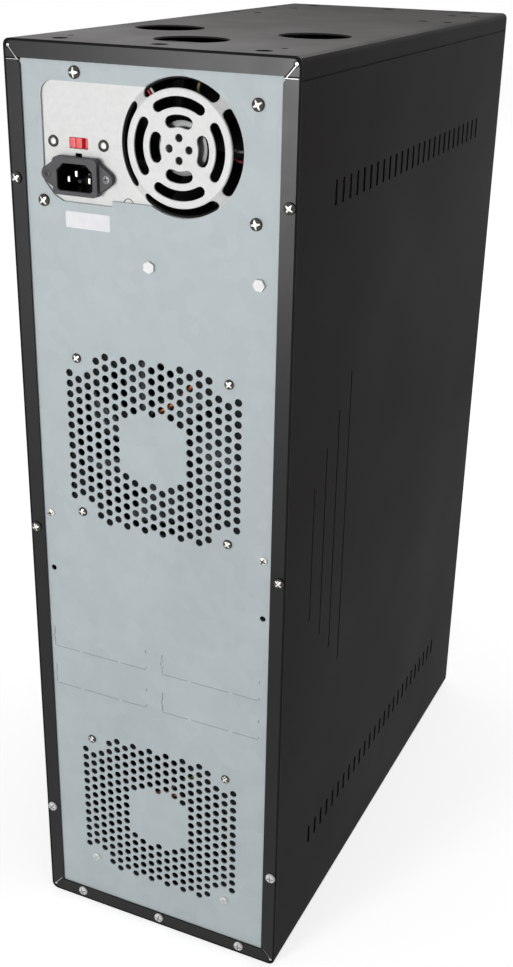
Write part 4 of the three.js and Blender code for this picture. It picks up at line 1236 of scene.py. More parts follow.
@dataclass
class RearPanel:
    """The galvanised plate: window for the power supply, two grilles, four port plates and its screws."""

    half: float = 91.7
    low: float = 1.3
    high: float = 615.7
    skin: Span = (203.7, 204.7)
    lip: float = 25.0
    guard: Point = (-21.2, 564.0)
    window_radius: float = 38.8
    window_foot: float = 527.1
    window_step: float = 530.4
    window_left: float = 70.0
    window_top: float = 595.5
    window_corner: float = 8.0
    window_meets: Span = (-60.0, 54.3)
    ear: Point = (66.4, 542.8)
    ear_radius: float = 5.2
    grilles: tuple[float, float] = (378.4, 95.3)
    port_x: tuple[float, float] = (43.5, -40.5)
    port_z: tuple[float, float] = (225.2, 195.0)
    port: Point = (72.0, 15.5)
    slit: float = 0.36
    slit_depth: float = 0.4
    tab_x: float = 15.2
    tab: float = 3.4
    small_hole: float = 2.0
    small_hole_x: float = 77.4
    small_hole_z: float = 279.0
    dimple: float = 4.7
    psu_screws: tuple[Point, ...] = ((70.7, 526.6), (-68, 527), (-68, 591), (46.5, 600.6))
    psu_screw_turns: tuple[float, ...] = (42.0, 12.0, 28.0, 3.0)
    plate_screws: tuple[Point, ...] = ((77.5, 320), (-77, 320))
    plate_screw_turns: tuple[float, ...] = (20.0, 65.0)
    nylon: tuple[Triple, ...] = ((0.1, 494.5, 30.0), (-70.7, 493.0, 0.0))
    nylon_head: Point = (3.9, 1.6)
    label: tuple[Span, Span] = ((25.9, 56.2), (512.1, 521.8))

    def window(self) -> Outline:
        """Draws the power supply's window, round its guard and its inlet's outer ear.

        Returns:
            The outline.
        """
        left, foot, step, r = self.window_left, self.window_foot, self.window_step, self.window_corner
        reach = degrees(acos((left - self.ear[0]) / self.ear_radius))
        start, end = self.window_meets
        return [
            *arc((left - r, self.window_top - r), r, 90, 0, 5),
            *arc(self.ear, self.ear_radius, reach, -reach, 6), (left, foot + 11), (left - 6.4, step),
            (left - 12.5, foot), (24.0, foot), (24.0, step),
            *arc(self.guard, self.window_radius, start, end - 360, 48),
        ]

    def slits(self, x: float, z: float) -> list[Outline]:
        """Draws the thin cuts that hold one port plate by its tabs.

        Args:
            x: The X of the plate's middle.
            z: The Z of its middle.

        Returns:
            The cuts' outlines.
        """
        (left, right), (low, high) = about(x, self.port[0]), about(z, self.port[1])
        s, notch = self.slit, 1.1
        near, far = self.tab_x - self.tab / 2, self.tab_x + self.tab / 2
        cuts = (
            ((right - s, right), (low + s + 0.3, z - 1.3)), ((right - s, right), (z + 1.3, high)),
            ((right - s + notch, right + notch), about(z, 2.2)),
            ((x + far, right - s - 0.3), (low, low + s)), ((x - near, x + near), (low, low + s)),
            ((left + s + 0.3, x - far), (low, low + s)), ((left, left + s), (low + 1.0, low + 2.6)),
            ((left, left + s), (high - 2.6, high)),
        )
        return [rounded(*cut, s / 3, 2) for cut in cuts]

    def port_parts(self) -> tuple[Mesh, Mesh]:
        """Draws what shows in and along the port plates' lower cuts.

        Returns:
            The cuts' floors, and bright beads on the tabs that paint their highlights.
        """
        skin = self.skin[1]
        floors, tabs = [], []
        for x in self.port_x:
            for z in self.port_z:
                foot = z - self.port[1] / 2
                strip = rounded(about(x, self.port[0] - 1), (foot - 0.4, foot + self.slit + 0.4), 0.3, 2)
                floors.append(slab([strip], (self.skin[0], skin - self.slit_depth)))
                for side in (-1, 1):
                    spot = (about(x + side * self.tab_x, 1.9), about(foot + self.slit / 2, 0.6))
                    tab = slab([rounded(*spot, 0.28, 3)], (skin - 0.3, skin + 0.25))
                    tabs.append(soften(tab, 0.1, 2))
        return merged(*floors), merged(*tabs)

    def plate(self) -> Mesh:
        """Draws the plate with all its cut-outs and its top lip.

        Returns:
            The plate.
        """
        low_bend, high_bend = 3.7, 2.7
        outer = [
            *arc((-self.half + low_bend, self.low + low_bend), low_bend, 180, 270, 4),
            *arc((self.half - low_bend, self.low + low_bend), low_bend, 270, 360, 4),
            *arc((self.half - high_bend, self.high - high_bend), high_bend, 0, 90, 4),
            *arc((-self.half + high_bend, self.high - high_bend), high_bend, 90, 180, 4),
        ]
        loops = [outer, self.window()]
        for middle in self.grilles:
            loops += FanGrille().holes(middle)
        for x in (-self.small_hole_x, self.small_hole_x):
            loops.append(circle((x, self.small_hole_z), self.small_hole, 14))
        for x in self.port_x:
            for z in self.port_z:
                loops += self.slits(x, z)
        plate = slab(loops, self.skin)
        lip = block((-89, 89), (self.skin[1] - self.lip, self.skin[0]), (self.high - SHEET, self.high))
        return merged(plate, lip)

    def fan_screws(self) -> list[Point]:
        """Returns the places of both fans' screws, in X and Z."""
        return [place for middle in self.grilles for place in FanGrille().screws(middle)]

    def dimples(self) -> Mesh:
        """Presses the shallow rings that the fan screws sit in.

        Returns:
            The rings.
        """
        curve = ((0, -0.02), (0.4, 0.12), (1.1, 0.2), (1.9, 0.05), (2.2, -0.02), (0, -0.02))
        ring = spun([(self.dimple - inwards, up) for inwards, up in curve], 28)
        rings = [moved(ring, shift(x, self.skin[1], z)) for x, z in self.fan_screws()]
        ring.free()
        return merged(*rings)

    def nylon_heads(self) -> Mesh:
        """Draws the two hexagon heads.

        Returns:
            The heads.
        """
        radius, height = self.nylon_head
        loops = [circle((x, z), radius, 6, radians(turn)) for x, z, turn in self.nylon]
        depth = (self.skin[1], self.skin[1] + height)
        return merged(*[soften(slab([loop], depth), 0.35) for loop in loops])

    def build(self) -> None:
        """Builds the plate and what is fastened to it."""
        spin = random.Random(11)
        seat = self.skin[1]
        piece("rear_plate", self.plate(), Finishes.zinc, stands_for=("rear_panel",))
        piece("fan_screw_dimples", self.dimples(), Finishes.zinc)
        floors, tabs = self.port_parts()
        piece("port_slit_floors", floors, Finishes.zinc)
        # Bright beads on the tabs: painted highlights.
        piece("port_tab_painted_glints", tabs, Finishes.bright)
        places = self.fan_screws()
        foot = min(z for _, z in places)
        # The screws are alike; their two tones are painted reflection: dark domes with bright crosses, and
        # pale domes on the lowest fan screws and the plate screws.
        steel = (Finishes.dome, Finishes.nickel)
        sets = {
            "dark": ([p for p in places if p[1] > foot], steel),
            "bright": ([p for p in places if p[1] == foot], (Finishes.bright, Finishes.zinc)),
        }
        for tone, (spots, pair) in sets.items():
            turns = [spin.uniform(0, 90) for _ in spots]
            PanScrew(3.1, 1.6, 1.1, 0.75).build(f"fan_{tone}_screws", spots, seat, turns, pair)
        for name, screw, spots, turns, pair in (
            ("power_supply", PanScrew(3.7, 2.1, 1.05, 0.8), self.psu_screws, self.psu_screw_turns, steel),
            ("plate", PanScrew(2.8, 1.6, 1.1, 0.7), self.plate_screws, self.plate_screw_turns, steel[::-1]),
        ):
            screw.build(f"{name}_screws", spots, seat, turns, pair)
        piece("spacer_heads", self.nylon_heads(), Finishes.nylon)
        label = slab([rounded(*self.label, 0.6)], (seat, seat + 0.12))
        piece("blank_label", label, Finishes.paper)


@dataclass
class PowerSupply:
    """The power supply's box: pressed guard, mains inlet, voltage selector and the wires behind."""

    x: Span = (-72.7, 74.7)
    y: Span = (63.4, 203.4)
    z: Span = (521.0, 605.7)
    guard: Point = (-21.2, 564.0)
    rings: tuple[Span, Span, Span] = ((12.0, 18.7), (22.7, 28.5), (32.8, 38.6))
    slot_half: Triple = (32.5, 37.5, 40.0)
    hole_out: float = 6.2
    hole: float = 2.25
    raised: float = 3.9
    inlet: Point = (46.4, 542.8)
    rim: Point = (30.2, 21.9)
    rim_corner: float = 3.0
    opening: Point = (26.6, 19.6)
    core: Point = (26.0, 19.0)
    core_back: float = 185.7
    ear_at: float = 20.0
    ear: float = 4.2
    ear_face: Span = (203.7, 207.0)
    rim_face: float = 209.15
    socket: Point = (24.2, 16.3)
    socket_z: float = 542.35
    socket_chamfer: float = 4.3
    socket_corner: float = 2.0
    socket_floor: float = 188.2
    notch: tuple[Span, Span] = ((44.2, 48.6), (550.0, 555.6))
    blades: tuple[Triple, ...] = ((0, 2, 207.0), (7, -2, 204.2), (-7, -2, 204.2))
    # Pale studs on the socket's floor that paint its glints: X from the inlet, Z, and radius.
    glint_studs: tuple[Triple, ...] = ((9.1, 536.4, 1.3), (2.1, 541.3, 0.8))
    selector: Point = (46.1, 561.3)
    selector_window: Point = (12.6, 6.5)
    rivets: tuple[Point, ...] = ((63.3, 561.3), (29.5, 561.2))
    eyelet: Point = (13.8, 529.4)
    vents: int = 6
    vent: Triple = (5.0, 50.0, 18.0)
    vent_middle: float = 1.0
    slider_z: float = 5.9
    slider_y: Span = (200.8, 203.3)
    label_y: float = 202.1

    def sheet(self) -> Mesh:
        """Draws the flat of the rear face, with a round hole where the guard is.

        Returns:
            The face.
        """
        window = [about(v, w) for v, w in zip(self.selector, self.selector_window)]
        opening = [about(v, w) for v, w in zip(self.inlet, self.opening)]
        loops = [
            rounded(self.x, self.z, 0.6, 2), circle(self.guard, self.rings[2][1] + 0.1, 96),
            rounded(*opening, 1.0), rounded(*window, 0.5, 2), rounded(*self.notch, 0.4, 2),
        ]
        return slab(loops, (self.y[1] - SHEET, self.y[1]))

    def disc(self) -> Mesh:
        """Draws the flat of the guard, with round edges on its inner slots and its small holes.

        Returns:
            The flat.
        """
        loops = [circle(self.guard, self.rings[2][0] - 0.6, 96)]
        for ring, half in zip(self.rings[:2], self.slot_half):
            loops += [arc_slot(self.guard, ring, turn, half) for turn in QUARTERS]
        x, z, out = *self.guard, self.hole_out
        loops += [circle(p, self.hole, 18) for p in ((x + out, z), (x, z + out), (x - out, z), (x, z - out))]
        face = self.y[1] + self.raised

        def on_slot(edge: Edge) -> bool:
            """Says whether an edge runs round a slot or a hole of the rear face."""
            near = (hypot(v.co.x - x, v.co.z - z) < self.rings[1][1] + 1 for v in edge.verts)
            return all(near) and all(v.co.y > face - 0.01 for v in edge.verts)

        return soften(slab(loops, (face - SHEET, face)), 0.35, 2, on_slot)

    def ramps(self) -> Mesh:
        """Draws the ring that slopes from the guard down to the face, cut into four ramps by its slots.

        Returns:
            The ramps.
        """
        inner, outer = self.rings[2]
        top = ((inner - 0.9, 1.0), (inner - 0.3, 0.97), (inner + 0.4, 0.86), (outer - 0.9, 0.08))
        foot = ((outer - 0.2, 0.0), (outer + 0.4, 0.0))
        skin = [(r, share * self.raised) for r, share in top + foot]
        back = [(r, up - SHEET) for r, up in skin]
        for i in range(1, len(top)):
            back[i] = (back[i][0] - 0.5, back[i][1])
        ring = spun([*skin, *back[::-1], skin[0]], 96)
        ring.transform(shift(self.guard[0], self.y[1], self.guard[1]))
        slots = [arc_slot(self.guard, self.rings[2], turn, self.slot_half[2], 24) for turn in QUARTERS]
        return combined(ring, slab(slots, (self.y[1] - 5, self.y[1] + 9)))

    def face(self) -> Mesh:
        """Returns the rear face with its pressed guard."""
        return combined(combined(self.sheet(), self.ramps(), "UNION"), self.disc(), "UNION")

    def box(self) -> Mesh:
        """Draws the floor and the inner end wall with its air slots.

        Returns:
            The floor and the wall.
        """
        wide, tall, pitch = self.vent
        middles = [self.vent_middle + (i - (self.vents - 1) / 2) * pitch for i in range(self.vents)]
        slots = [rounded(about(x, wide), about(sum(self.z) / 2, tall), 2.4) for x in middles]
        wall = slab([rounded(self.x, self.z, 0.5, 2), *slots], (self.y[0], self.y[0] + SHEET))
        floor = block(self.x, (self.y[0] + SHEET, self.y[1] - SHEET), (self.z[0], self.z[0] + SHEET))
        return merged(wall, floor)

    def ears(self) -> Outline:
        """Draws the inlet's flange: two round ears, and straight edges on to the rim.

        Returns:
            The outline.
        """
        x, z = self.inlet
        half_x, half_z, cut = self.rim[0] / 2, self.rim[1] / 2, self.rim_corner * 0.7
        side_z = half_z - cut
        reach = hypot(self.ear_at - half_x, side_z)
        turn = degrees(atan2(side_z, half_x - self.ear_at) - acos(self.ear / reach))
        tip = arc((self.ear_at, 0), self.ear, -turn, turn, 10)
        low = [(half_x - cut, -half_z), (half_x - 0.3, -side_z)]
        side = [*low, *tip, *[(a, -b) for a, b in low[::-1]]]
        return [(x + a, z + b) for a, b in side] + [(x - a, z - b) for a, b in side]

    def mouth(self, inset: float) -> Outline:
        """Draws the recess, with two cut corners above and two round ones below.

        Args:
            inset: How far inside the recess's walls it lies.

        Returns:
            The outline.
        """
        x, z = self.inlet[0], self.socket_z
        sx, sz = (size / 2 - inset for size in self.socket)
        c, r = self.socket_chamfer, self.socket_corner
        return [
            *arc((x - sx + r, z - sz + r), r, 180, 270, 4), *arc((x + sx - r, z - sz + r), r, 270, 360, 4),
            (x + sx, z + sz - c), (x + sx - c, z + sz), (x - sx + c, z + sz), (x - sx, z + sz - c),
        ]

    def inlet_body(self) -> Mesh:
        """Draws the inlet: eared flange, raised rim and recess.

        Returns:
            The inlet.
        """
        x, z = self.inlet
        screws = [circle((x + side * self.ear_at, z), 1.6, 14) for side in (-1, 1)]
        flange = slab([self.ears(), *screws], self.ear_face)
        flange = soften(flange, 0.6, 2, beyond(self.ear_face[1] - 0.1))
        outline = rounded(about(x, self.rim[0]), about(z, self.rim[1]), self.rim_corner, 6)
        rim = slab([outline], (self.ear_face[0] + 0.01, self.rim_face))
        rim = soften(rim, 0.7, 3, beyond(self.rim_face - 0.1))
        core = block(about(x, self.core[0]), (self.core_back, self.ear_face[0] + 0.5), about(z, self.core[1]))
        whole = combined(combined(flange, rim, "UNION"), core, "UNION")
        return combined(whole, slab([self.mouth(0)], (self.socket_floor, self.rim_face + 2)))

    def socket_lining(self) -> Mesh:
        """Draws the recess's walls and floor, which take the near-black painted shade.

        Returns:
            The lining.
        """
        floor = self.socket_floor
        wall = slab([self.mouth(0.02), self.mouth(0.3)], (floor - 0.2, self.rim_face - 0.5))
        return merged(wall, slab([self.mouth(0.25)], (floor - 0.2, floor + 0.5)))

    def blade_parts(self, size: Point, depths: list[Span], width: float, segments: int) -> Mesh:
        """Draws a block on each of the three blades.

        Args:
            size: How wide and how tall each is.
            depths: The places along Y that each lies between.
            width: The width of the round at its edges.
            segments: How many faces the round has.

        Returns:
            The three blocks.
        """
        x, z = self.inlet[0], self.socket_z
        parts = [
            block(about(x + dx, size[0]), depth, about(z + dz, size[1]))
            for (dx, dz, _), depth in zip(self.blades, depths)
        ]
        return merged(*[soften(part, width, segments) for part in parts])

    def pins(self) -> Mesh:
        """Returns the three blades, drawn dark as a painted reflection of the dark recess."""
        return self.blade_parts((2, 4), [(self.socket_floor, tip - 0.3) for *_, tip in self.blades], 0.4, 2)

    def pin_tips(self) -> Mesh:
        """Returns the blades' tips, drawn bright as a painted highlight where the light falls."""
        return self.blade_parts((1.4, 3.2), [(tip - 1.2, tip) for *_, tip in self.blades], 0.15, 1)

    def glint_stud_heads(self) -> Mesh:
        """Draws pale studs between the blades, on the recess's floor: painted glints in the dark socket.

        Returns:
            The rivets.
        """
        glint_studs = []
        for dx, z, radius in self.glint_studs:
            stud = spun([(0, 1.4), (0.6 * radius, 1.2), (radius, 0.6), (radius, 0), (0, 0)], 16)
            stud.transform(shift(self.inlet[0] + dx, self.socket_floor + 0.4, z))
            glint_studs.append(stud)
        return merged(*glint_studs)

    def slider(self) -> Mesh:
        """Draws the red slider with a groove across it.

        Returns:
            The slider.
        """
        start = self.selector[0] + self.selector_window[0] / 2 - 0.3
        z = about(self.selector[1], self.slider_z)
        body = block((start - 8, start), self.slider_y, z)
        groove = block((start - 4.3, start - 3.7), (202.6, 204.5), (z[0] - 1, z[1] + 1))
        return soften(combined(body, groove), 0.25, 2)

    def wires(self) -> None:
        """Builds the fan's own wires, which come up round the rim of its duct, behind the guard."""
        x, z = self.guard
        runs = {
            "red": (54.6, -1.1), "white": (54.6, 1.1), "olive": (105.3, 0.0), "crimson": (187.3, 0.0),
            "grey": (178.6, 0.0),
        }
        for colour, (turn, side) in runs.items():
            away = Vector((cos(radians(turn)), 0, sin(radians(turn))))
            across = Vector((-away.z, 0, away.x)) * side
            climb = ((30, 197.2), (33, 200.6), (37, 201.2))
            points = [Vector((x, y, z)) + away * out + across for out, y in climb]
            piece(f"psu_wire_{colour}", tube(points, 0.75), Finishes.wires[colour])

    def rivet_parts(self) -> tuple[Mesh, Mesh]:
        """Draws the selector's rivets and the eyelet.

        Returns:
            Their rings, drawn dark as painted reflection, and the rivets' centres, drawn bright as painted
            highlights.
        """
        ring = spun([(2.0, 0.0), (2.1, 0.7), (2.7, 0.95), (3.3, 0.6), (3.5, 0.0), (2.0, 0.0)], 28)
        centre = spun([(0, 0.75), (1.2, 0.7), (2.0, 0.35), (2.0, 0.0), (0, 0)], 24)
        thin = spun([(2.9, 0.0), (3.0, 0.22), (3.4, 0.22), (3.5, 0.0), (2.9, 0.0)], 28)
        face = self.y[1]
        places = [shift(x, face, z) for x, z in self.rivets]
        rings = [moved(ring, place) for place in places]
        rings.append(moved(thin, shift(self.eyelet[0], face, self.eyelet[1])))
        centres = [moved(centre, place) for place in places]
        for part in (ring, centre, thin):
            part.free()
        return merged(*rings), merged(*centres)

    def motor_label(self) -> Mesh:
        """Draws the blank label on the fan's motor, which bulges a little round its middle.

        Returns:
            The label.
        """
        label = spun([(0, 0.15), (8.0, 0.15), (11.5, 0.75), (15.2, 0.15), (15.2, 0.02), (0, 0.02)], 48)
        label.transform(shift(self.guard[0], self.label_y, self.guard[1]))
        return label

    def build(self) -> None:
        """Builds the power supply's pieces."""
        case = merged(self.face(), self.box())
        piece("psu_box", case, Finishes.bright, stands_for=("psu_case",))
        body, slider = self.inlet_body(), "voltage_slider"
        piece("inlet_body", body, Finishes.inlet, stands_for=("power_inlet",))
        piece("inlet_socket", self.socket_lining(), Finishes.socket)
        piece("inlet_pins", self.pins(), Finishes.dome)
        piece("inlet_pin_tips_painted_highlight", self.pin_tips(), Finishes.nickel)
        piece("inlet_glint_studs", self.glint_stud_heads(), Finishes.nylon)
        piece(f"{slider}_cap", self.slider(), Finishes.red, slider, (slider,))
        (x, z), seat = self.inlet, self.ear_face[1] - 0.2
        screw = PanScrew(2.5, 0.55, 0.9, 0.62, 0.5)
        # Both screws are black: the left is drawn in the inlet's grey and the right lighter, as painted
        # light; their crosses take the socket's painted shade.
        for side, at, turn, coat in (
            ("left", x + self.ear_at, 8, Finishes.inlet), ("right", x - self.ear_at, 10, Finishes.phosphate)
        ):
            screw.build(f"inlet_screw_{side}", [(at, z)], seat, [turn], (coat, Finishes.socket))
        rings, centres = self.rivet_parts()
        # Dark rings and bright centres paint the rivets' reflection and highlight.
        piece("selector_rivets", rings, Finishes.dome)
        piece("selector_rivet_centres", centres, Finishes.nickel)
        piece("psu_fan_label", self.motor_label(), Finishes.foil)
        self.wires()
        dress(("psu_cover",), Finishes.bright)
        dress(("voltage_selector",), Finishes.red)
        dress(("psu_board",), Finishes.board)


@dataclass
class Fan:
    """A box fan: square flanges, a round duct, a motor on four struts, and a rotor with curved blades."""

    name: str
    x: float
    y: float
    z: float
    size: float
    bore: float
    hub: float
    screw_span: float
    corner: float = 6.0
    depth: float = 25.0
    flange: float = 4.0
    wall: float = 1.6
    motor: float = 5.0
    blades: int = 7
    chord: float = 46.0
    taper: float = 12.0
    sweep: float = 18.0
    thickness: float = 1.4
    lead_y: float = -1.9
    lead_end_y: float = -4.2
    leads: dict[str, list[Point]] = field(default_factory=dict)
    blade_finish: Finish = Finishes.fan

    def place(self) -> Matrix:
        """Returns the move from the fan's own axis to its place."""
        return shift(self.x, self.y, self.z)

    def frame(self) -> Mesh:
        """Draws the frame, with its seat at zero and its body at lower Y.

        Returns:
            The frame.
        """
        half = self.size / 2
        square = rounded((-half, half), (-half, half), self.corner, 5)
        ends = about(0, self.screw_span)
        screws = [circle((x, z), 2.2, 14) for x in ends for z in ends]
        bore = circle((0, 0), self.bore, 64)
        duct = circle((0, 0), self.bore + self.wall, 64)
        parts = [
            slab([square, bore, *screws], (-self.flange, 0)),
            slab([square, bore, *screws], (-self.depth, -self.depth + self.flange)),
            slab([duct, bore], (-self.depth + self.flange, -self.flange)),
        ]
        hub, motor = self.hub, self.motor
        parts.append(spun([(0, 0), (hub - 0.8, 0), (hub, -0.8), (hub, -motor), (0, -motor)], 48))
        for i in range(4):
            strut = block((hub - 1, self.bore + 0.5), (-3, -0.2), about(0, 4.5))
            strut.transform(Matrix.Rotation(pi / 4 + i * pi / 2, 4, "Y"))
            parts.append(strut)
        return merged(*parts)

    def blade(self) -> Mesh:
        """Bends a grid round the axis, twists it from hub to tip, and gives it a thickness.

        Returns:
            One blade.
        """
        bm = bmesh.new()
        bmesh.ops.create_grid(bm, x_segments=6, y_segments=8, size=0.5)
        tip = self.bore - 1.5
        front, back = -self.depth + 2, -self.motor - 1
        for vert in bm.verts:
            out, along = vert.co.x + 0.5, vert.co.y + 0.5
            radius = self.hub - 1 + (tip - self.hub + 1) * out
            turn = radians(self.sweep * out + (self.chord - self.taper * out) * (along - 0.5))
            rise = front + (back - front) * (along + 0.12 * sin(pi * along))
            vert.co = (radius * cos(turn), rise, radius * sin(turn))
        bmesh.ops.recalc_face_normals(bm, faces=bm.faces[:])
        bmesh.ops.solidify(bm, geom=bm.faces[:], thickness=self.thickness)
        return bm

    def rotor(self) -> Mesh:
        """Draws the hub and its blades.

        Returns:
            The rotor.
        """
        front, back, hub = -self.depth + 1, -self.motor - 0.4, self.hub
        rim = [(hub - 0.6, back), (hub, back - 0.6), (hub, front + 2), (hub - 2, front)]
        parts = [spun([(0, back), *rim, (0, front)], 48)]
        blade = self.blade()
        for i in range(self.blades):
            parts.append(moved(blade, Matrix.Rotation(2 * pi * i / self.blades, 4, "Y")))
        blade.free()
        return merged(*parts)

    def build(self) -> None:
        """Builds the frame, the rotor and the motor's leads, which run loosely over the upper strut."""
        body, turning = self.frame(), self.rotor()
        for part in (body, turning):
            part.transform(self.place())
        frame_node, rotor = f"{self.name}_frame", f"{self.name}_rotor"
        piece(f"{self.name}_housing", body, Finishes.fan, stands_for=(frame_node,))
        piece(f"{self.name}_impeller", turning, self.blade_finish, rotor, (rotor,))
        for colour, spots in self.leads.items():
            heights = [self.lead_y] * (len(spots) - 1) + [self.lead_end_y]
            lead = tube([Vector((x, y, z)) for (x, z), y in zip(spots, heights)], 0.85)
            lead.transform(self.place())
            piece(f"{self.name}_lead_{colour}", lead, Finishes.wires[colour])


@dataclass
class DriveStack:
    """The ten drives: bezel, case, tray and eject button of each, and its lamp."""

    half_width: float = 73.0
    height: float = 41.3
    bezel: Span = (-208.0, -203.7)
    depth: float = 165.0
    mouth: tuple[Span, Span] = ((-65.3, 65.3), (22.3, 35.5))
    door: tuple[Span, Span] = ((-65.0, 65.0), (22.6, 35.2))
    door_thick: float = 3.0
    tray_half: float = 63.0
    tray_z: Span = (22.6, 31.6)
    tray_length: float = 150.0
    disc_y: float = -142.0
    disc_radius: float = 60.5
    disc_depth: float = 3.2
    small_disc_radius: float = 41.0
    spindle_half: float = 18.0
    button: tuple[Span, Span] = ((50.5, 61.5), (8.0, 12.4))
    lamp: Point = (40.0, 10.2)
    pinhole: Point = (31.0, 10.2)

    def bezel_plate(self) -> Mesh:
        """Draws the bezel with its tray mouth, button pocket, lamp and release hole.

        Returns:
            The bezel.
        """
        z = about(self.height / 2, BEZEL[1])
        pocket = [(start - 0.35, end + 0.35) for start, end in self.button]
        loops = [
            rounded(about(0, BEZEL[0]), z, 1.0, 3), rounded(*self.mouth, 0.7, 3), rounded(*pocket, 0.8, 3),
            rounded(about(self.lamp[0], 4.4), about(self.lamp[1], 1.6), 0.5, 3),
            circle(self.pinhole, 0.7, 12),
        ]
        bm = slab(loops, self.bezel)
        return soften(bm, 0.45, 2, before(self.bezel[0] + 0.01))

    def casing(self) -> Mesh:
        """Draws the sheet case behind the bezel: four walls, a back and the tray's deck.

        Returns:
            The case.
        """
        w, back = self.half_width, self.bezel[1] + self.depth
        y = (self.bezel[1] - 0.5, back)
        outer = rounded((-w, w), (0, self.height), 1.2, 3)
        inner = rounded((-w + 1, w - 1), (1, self.height - 1), 0.4, 2)
        wall = slab([outer, inner], y)
        rear = slab([inner], (back - SHEET, back))
        deck = block((-w + 1, w - 1), (y[0] + 1, back - 11), (20.7, 22.2))
        return merged(wall, rear, deck)

    def tray(self) -> Mesh:
        """Draws the tray: two disc recesses, the slot for the spindle, and the door on its front.

        Returns:
            The tray.
        """
        front, back = self.bezel[0], self.bezel[0] + self.tray_length
        low, high = self.tray_z
        outline = rounded((-self.tray_half, self.tray_half), (front + 1, back), 4, 4)
        bed = slab([outline], self.tray_z, Facing.TOP)
        bed = soften(bed, 0.5, 2, beyond(high - 0.01, 2))
        floor = high - self.disc_depth
        middle, half = (0, self.disc_y), self.spindle_half
        reach = (self.disc_y - half, self.disc_y + self.disc_radius - 1)
        slot = rounded((-half, half), reach, half - 0.1, 10)
        for loop, span in (
            (circle(middle, self.disc_radius, 96), (floor, high + 2)),
            (circle(middle, self.small_disc_radius, 72), (floor - 1.1, high + 3)),
            (slot, (low - 2, high + 4)),
        ):
            bed = combined(bed, slab([loop], span, Facing.TOP))
        door = slab([rounded(*self.door, 0.8, 3)], (front, front + self.door_thick))
        return combined(bed, soften(door, 0.5, 2, before(front + 0.01)), "UNION")

    def button_cap(self) -> Mesh:
        """Returns the eject button."""
        bm = slab([rounded(*self.button, 0.7, 3)], (self.bezel[0] - 1, self.bezel[0] + 5))
        return soften(bm, 0.4, 2, before(self.bezel[0] - 0.99))

    def lamp_lens(self) -> Mesh:
        """Returns the indicator lamp's lens."""
        loop = rounded(about(self.lamp[0], 4.0), about(self.lamp[1], 1.2), 0.4, 3)
        return slab([loop], (self.bezel[0] + 0.1, self.bezel[1]))

    def build(self) -> None:
        """Builds the drives from one of each piece, lifted to each bay."""
        models = [self.bezel_plate(), self.casing(), self.tray(), self.button_cap(), self.lamp_lens()]
        for i in range(DRIVES):
            name = f"drive_{i + 1:02d}"
            lift = shift(0, 0, BAY_FIRST + i * BAY_PITCH)
            bezel, casing, tray, button, lamp = (moved(model, lift) for model in models)
            case, tray_node, cap = f"{name}_case", f"{name}_tray", f"{name}_eject_button"
            piece(f"{name}_bezel", bezel, Finishes.bezel)
            piece(f"{name}_casing", casing, Finishes.case_steel, stands_for=(case,))
            piece(f"{name}_disc_tray", tray, Finishes.tray, tray_node, (tray_node,))
            piece(f"{name}_eject_cap", button, Finishes.tray, cap, (cap,))
            piece(f"{name}_lamp", lamp, Finishes.lamp)
        for model in models:
            model.free()


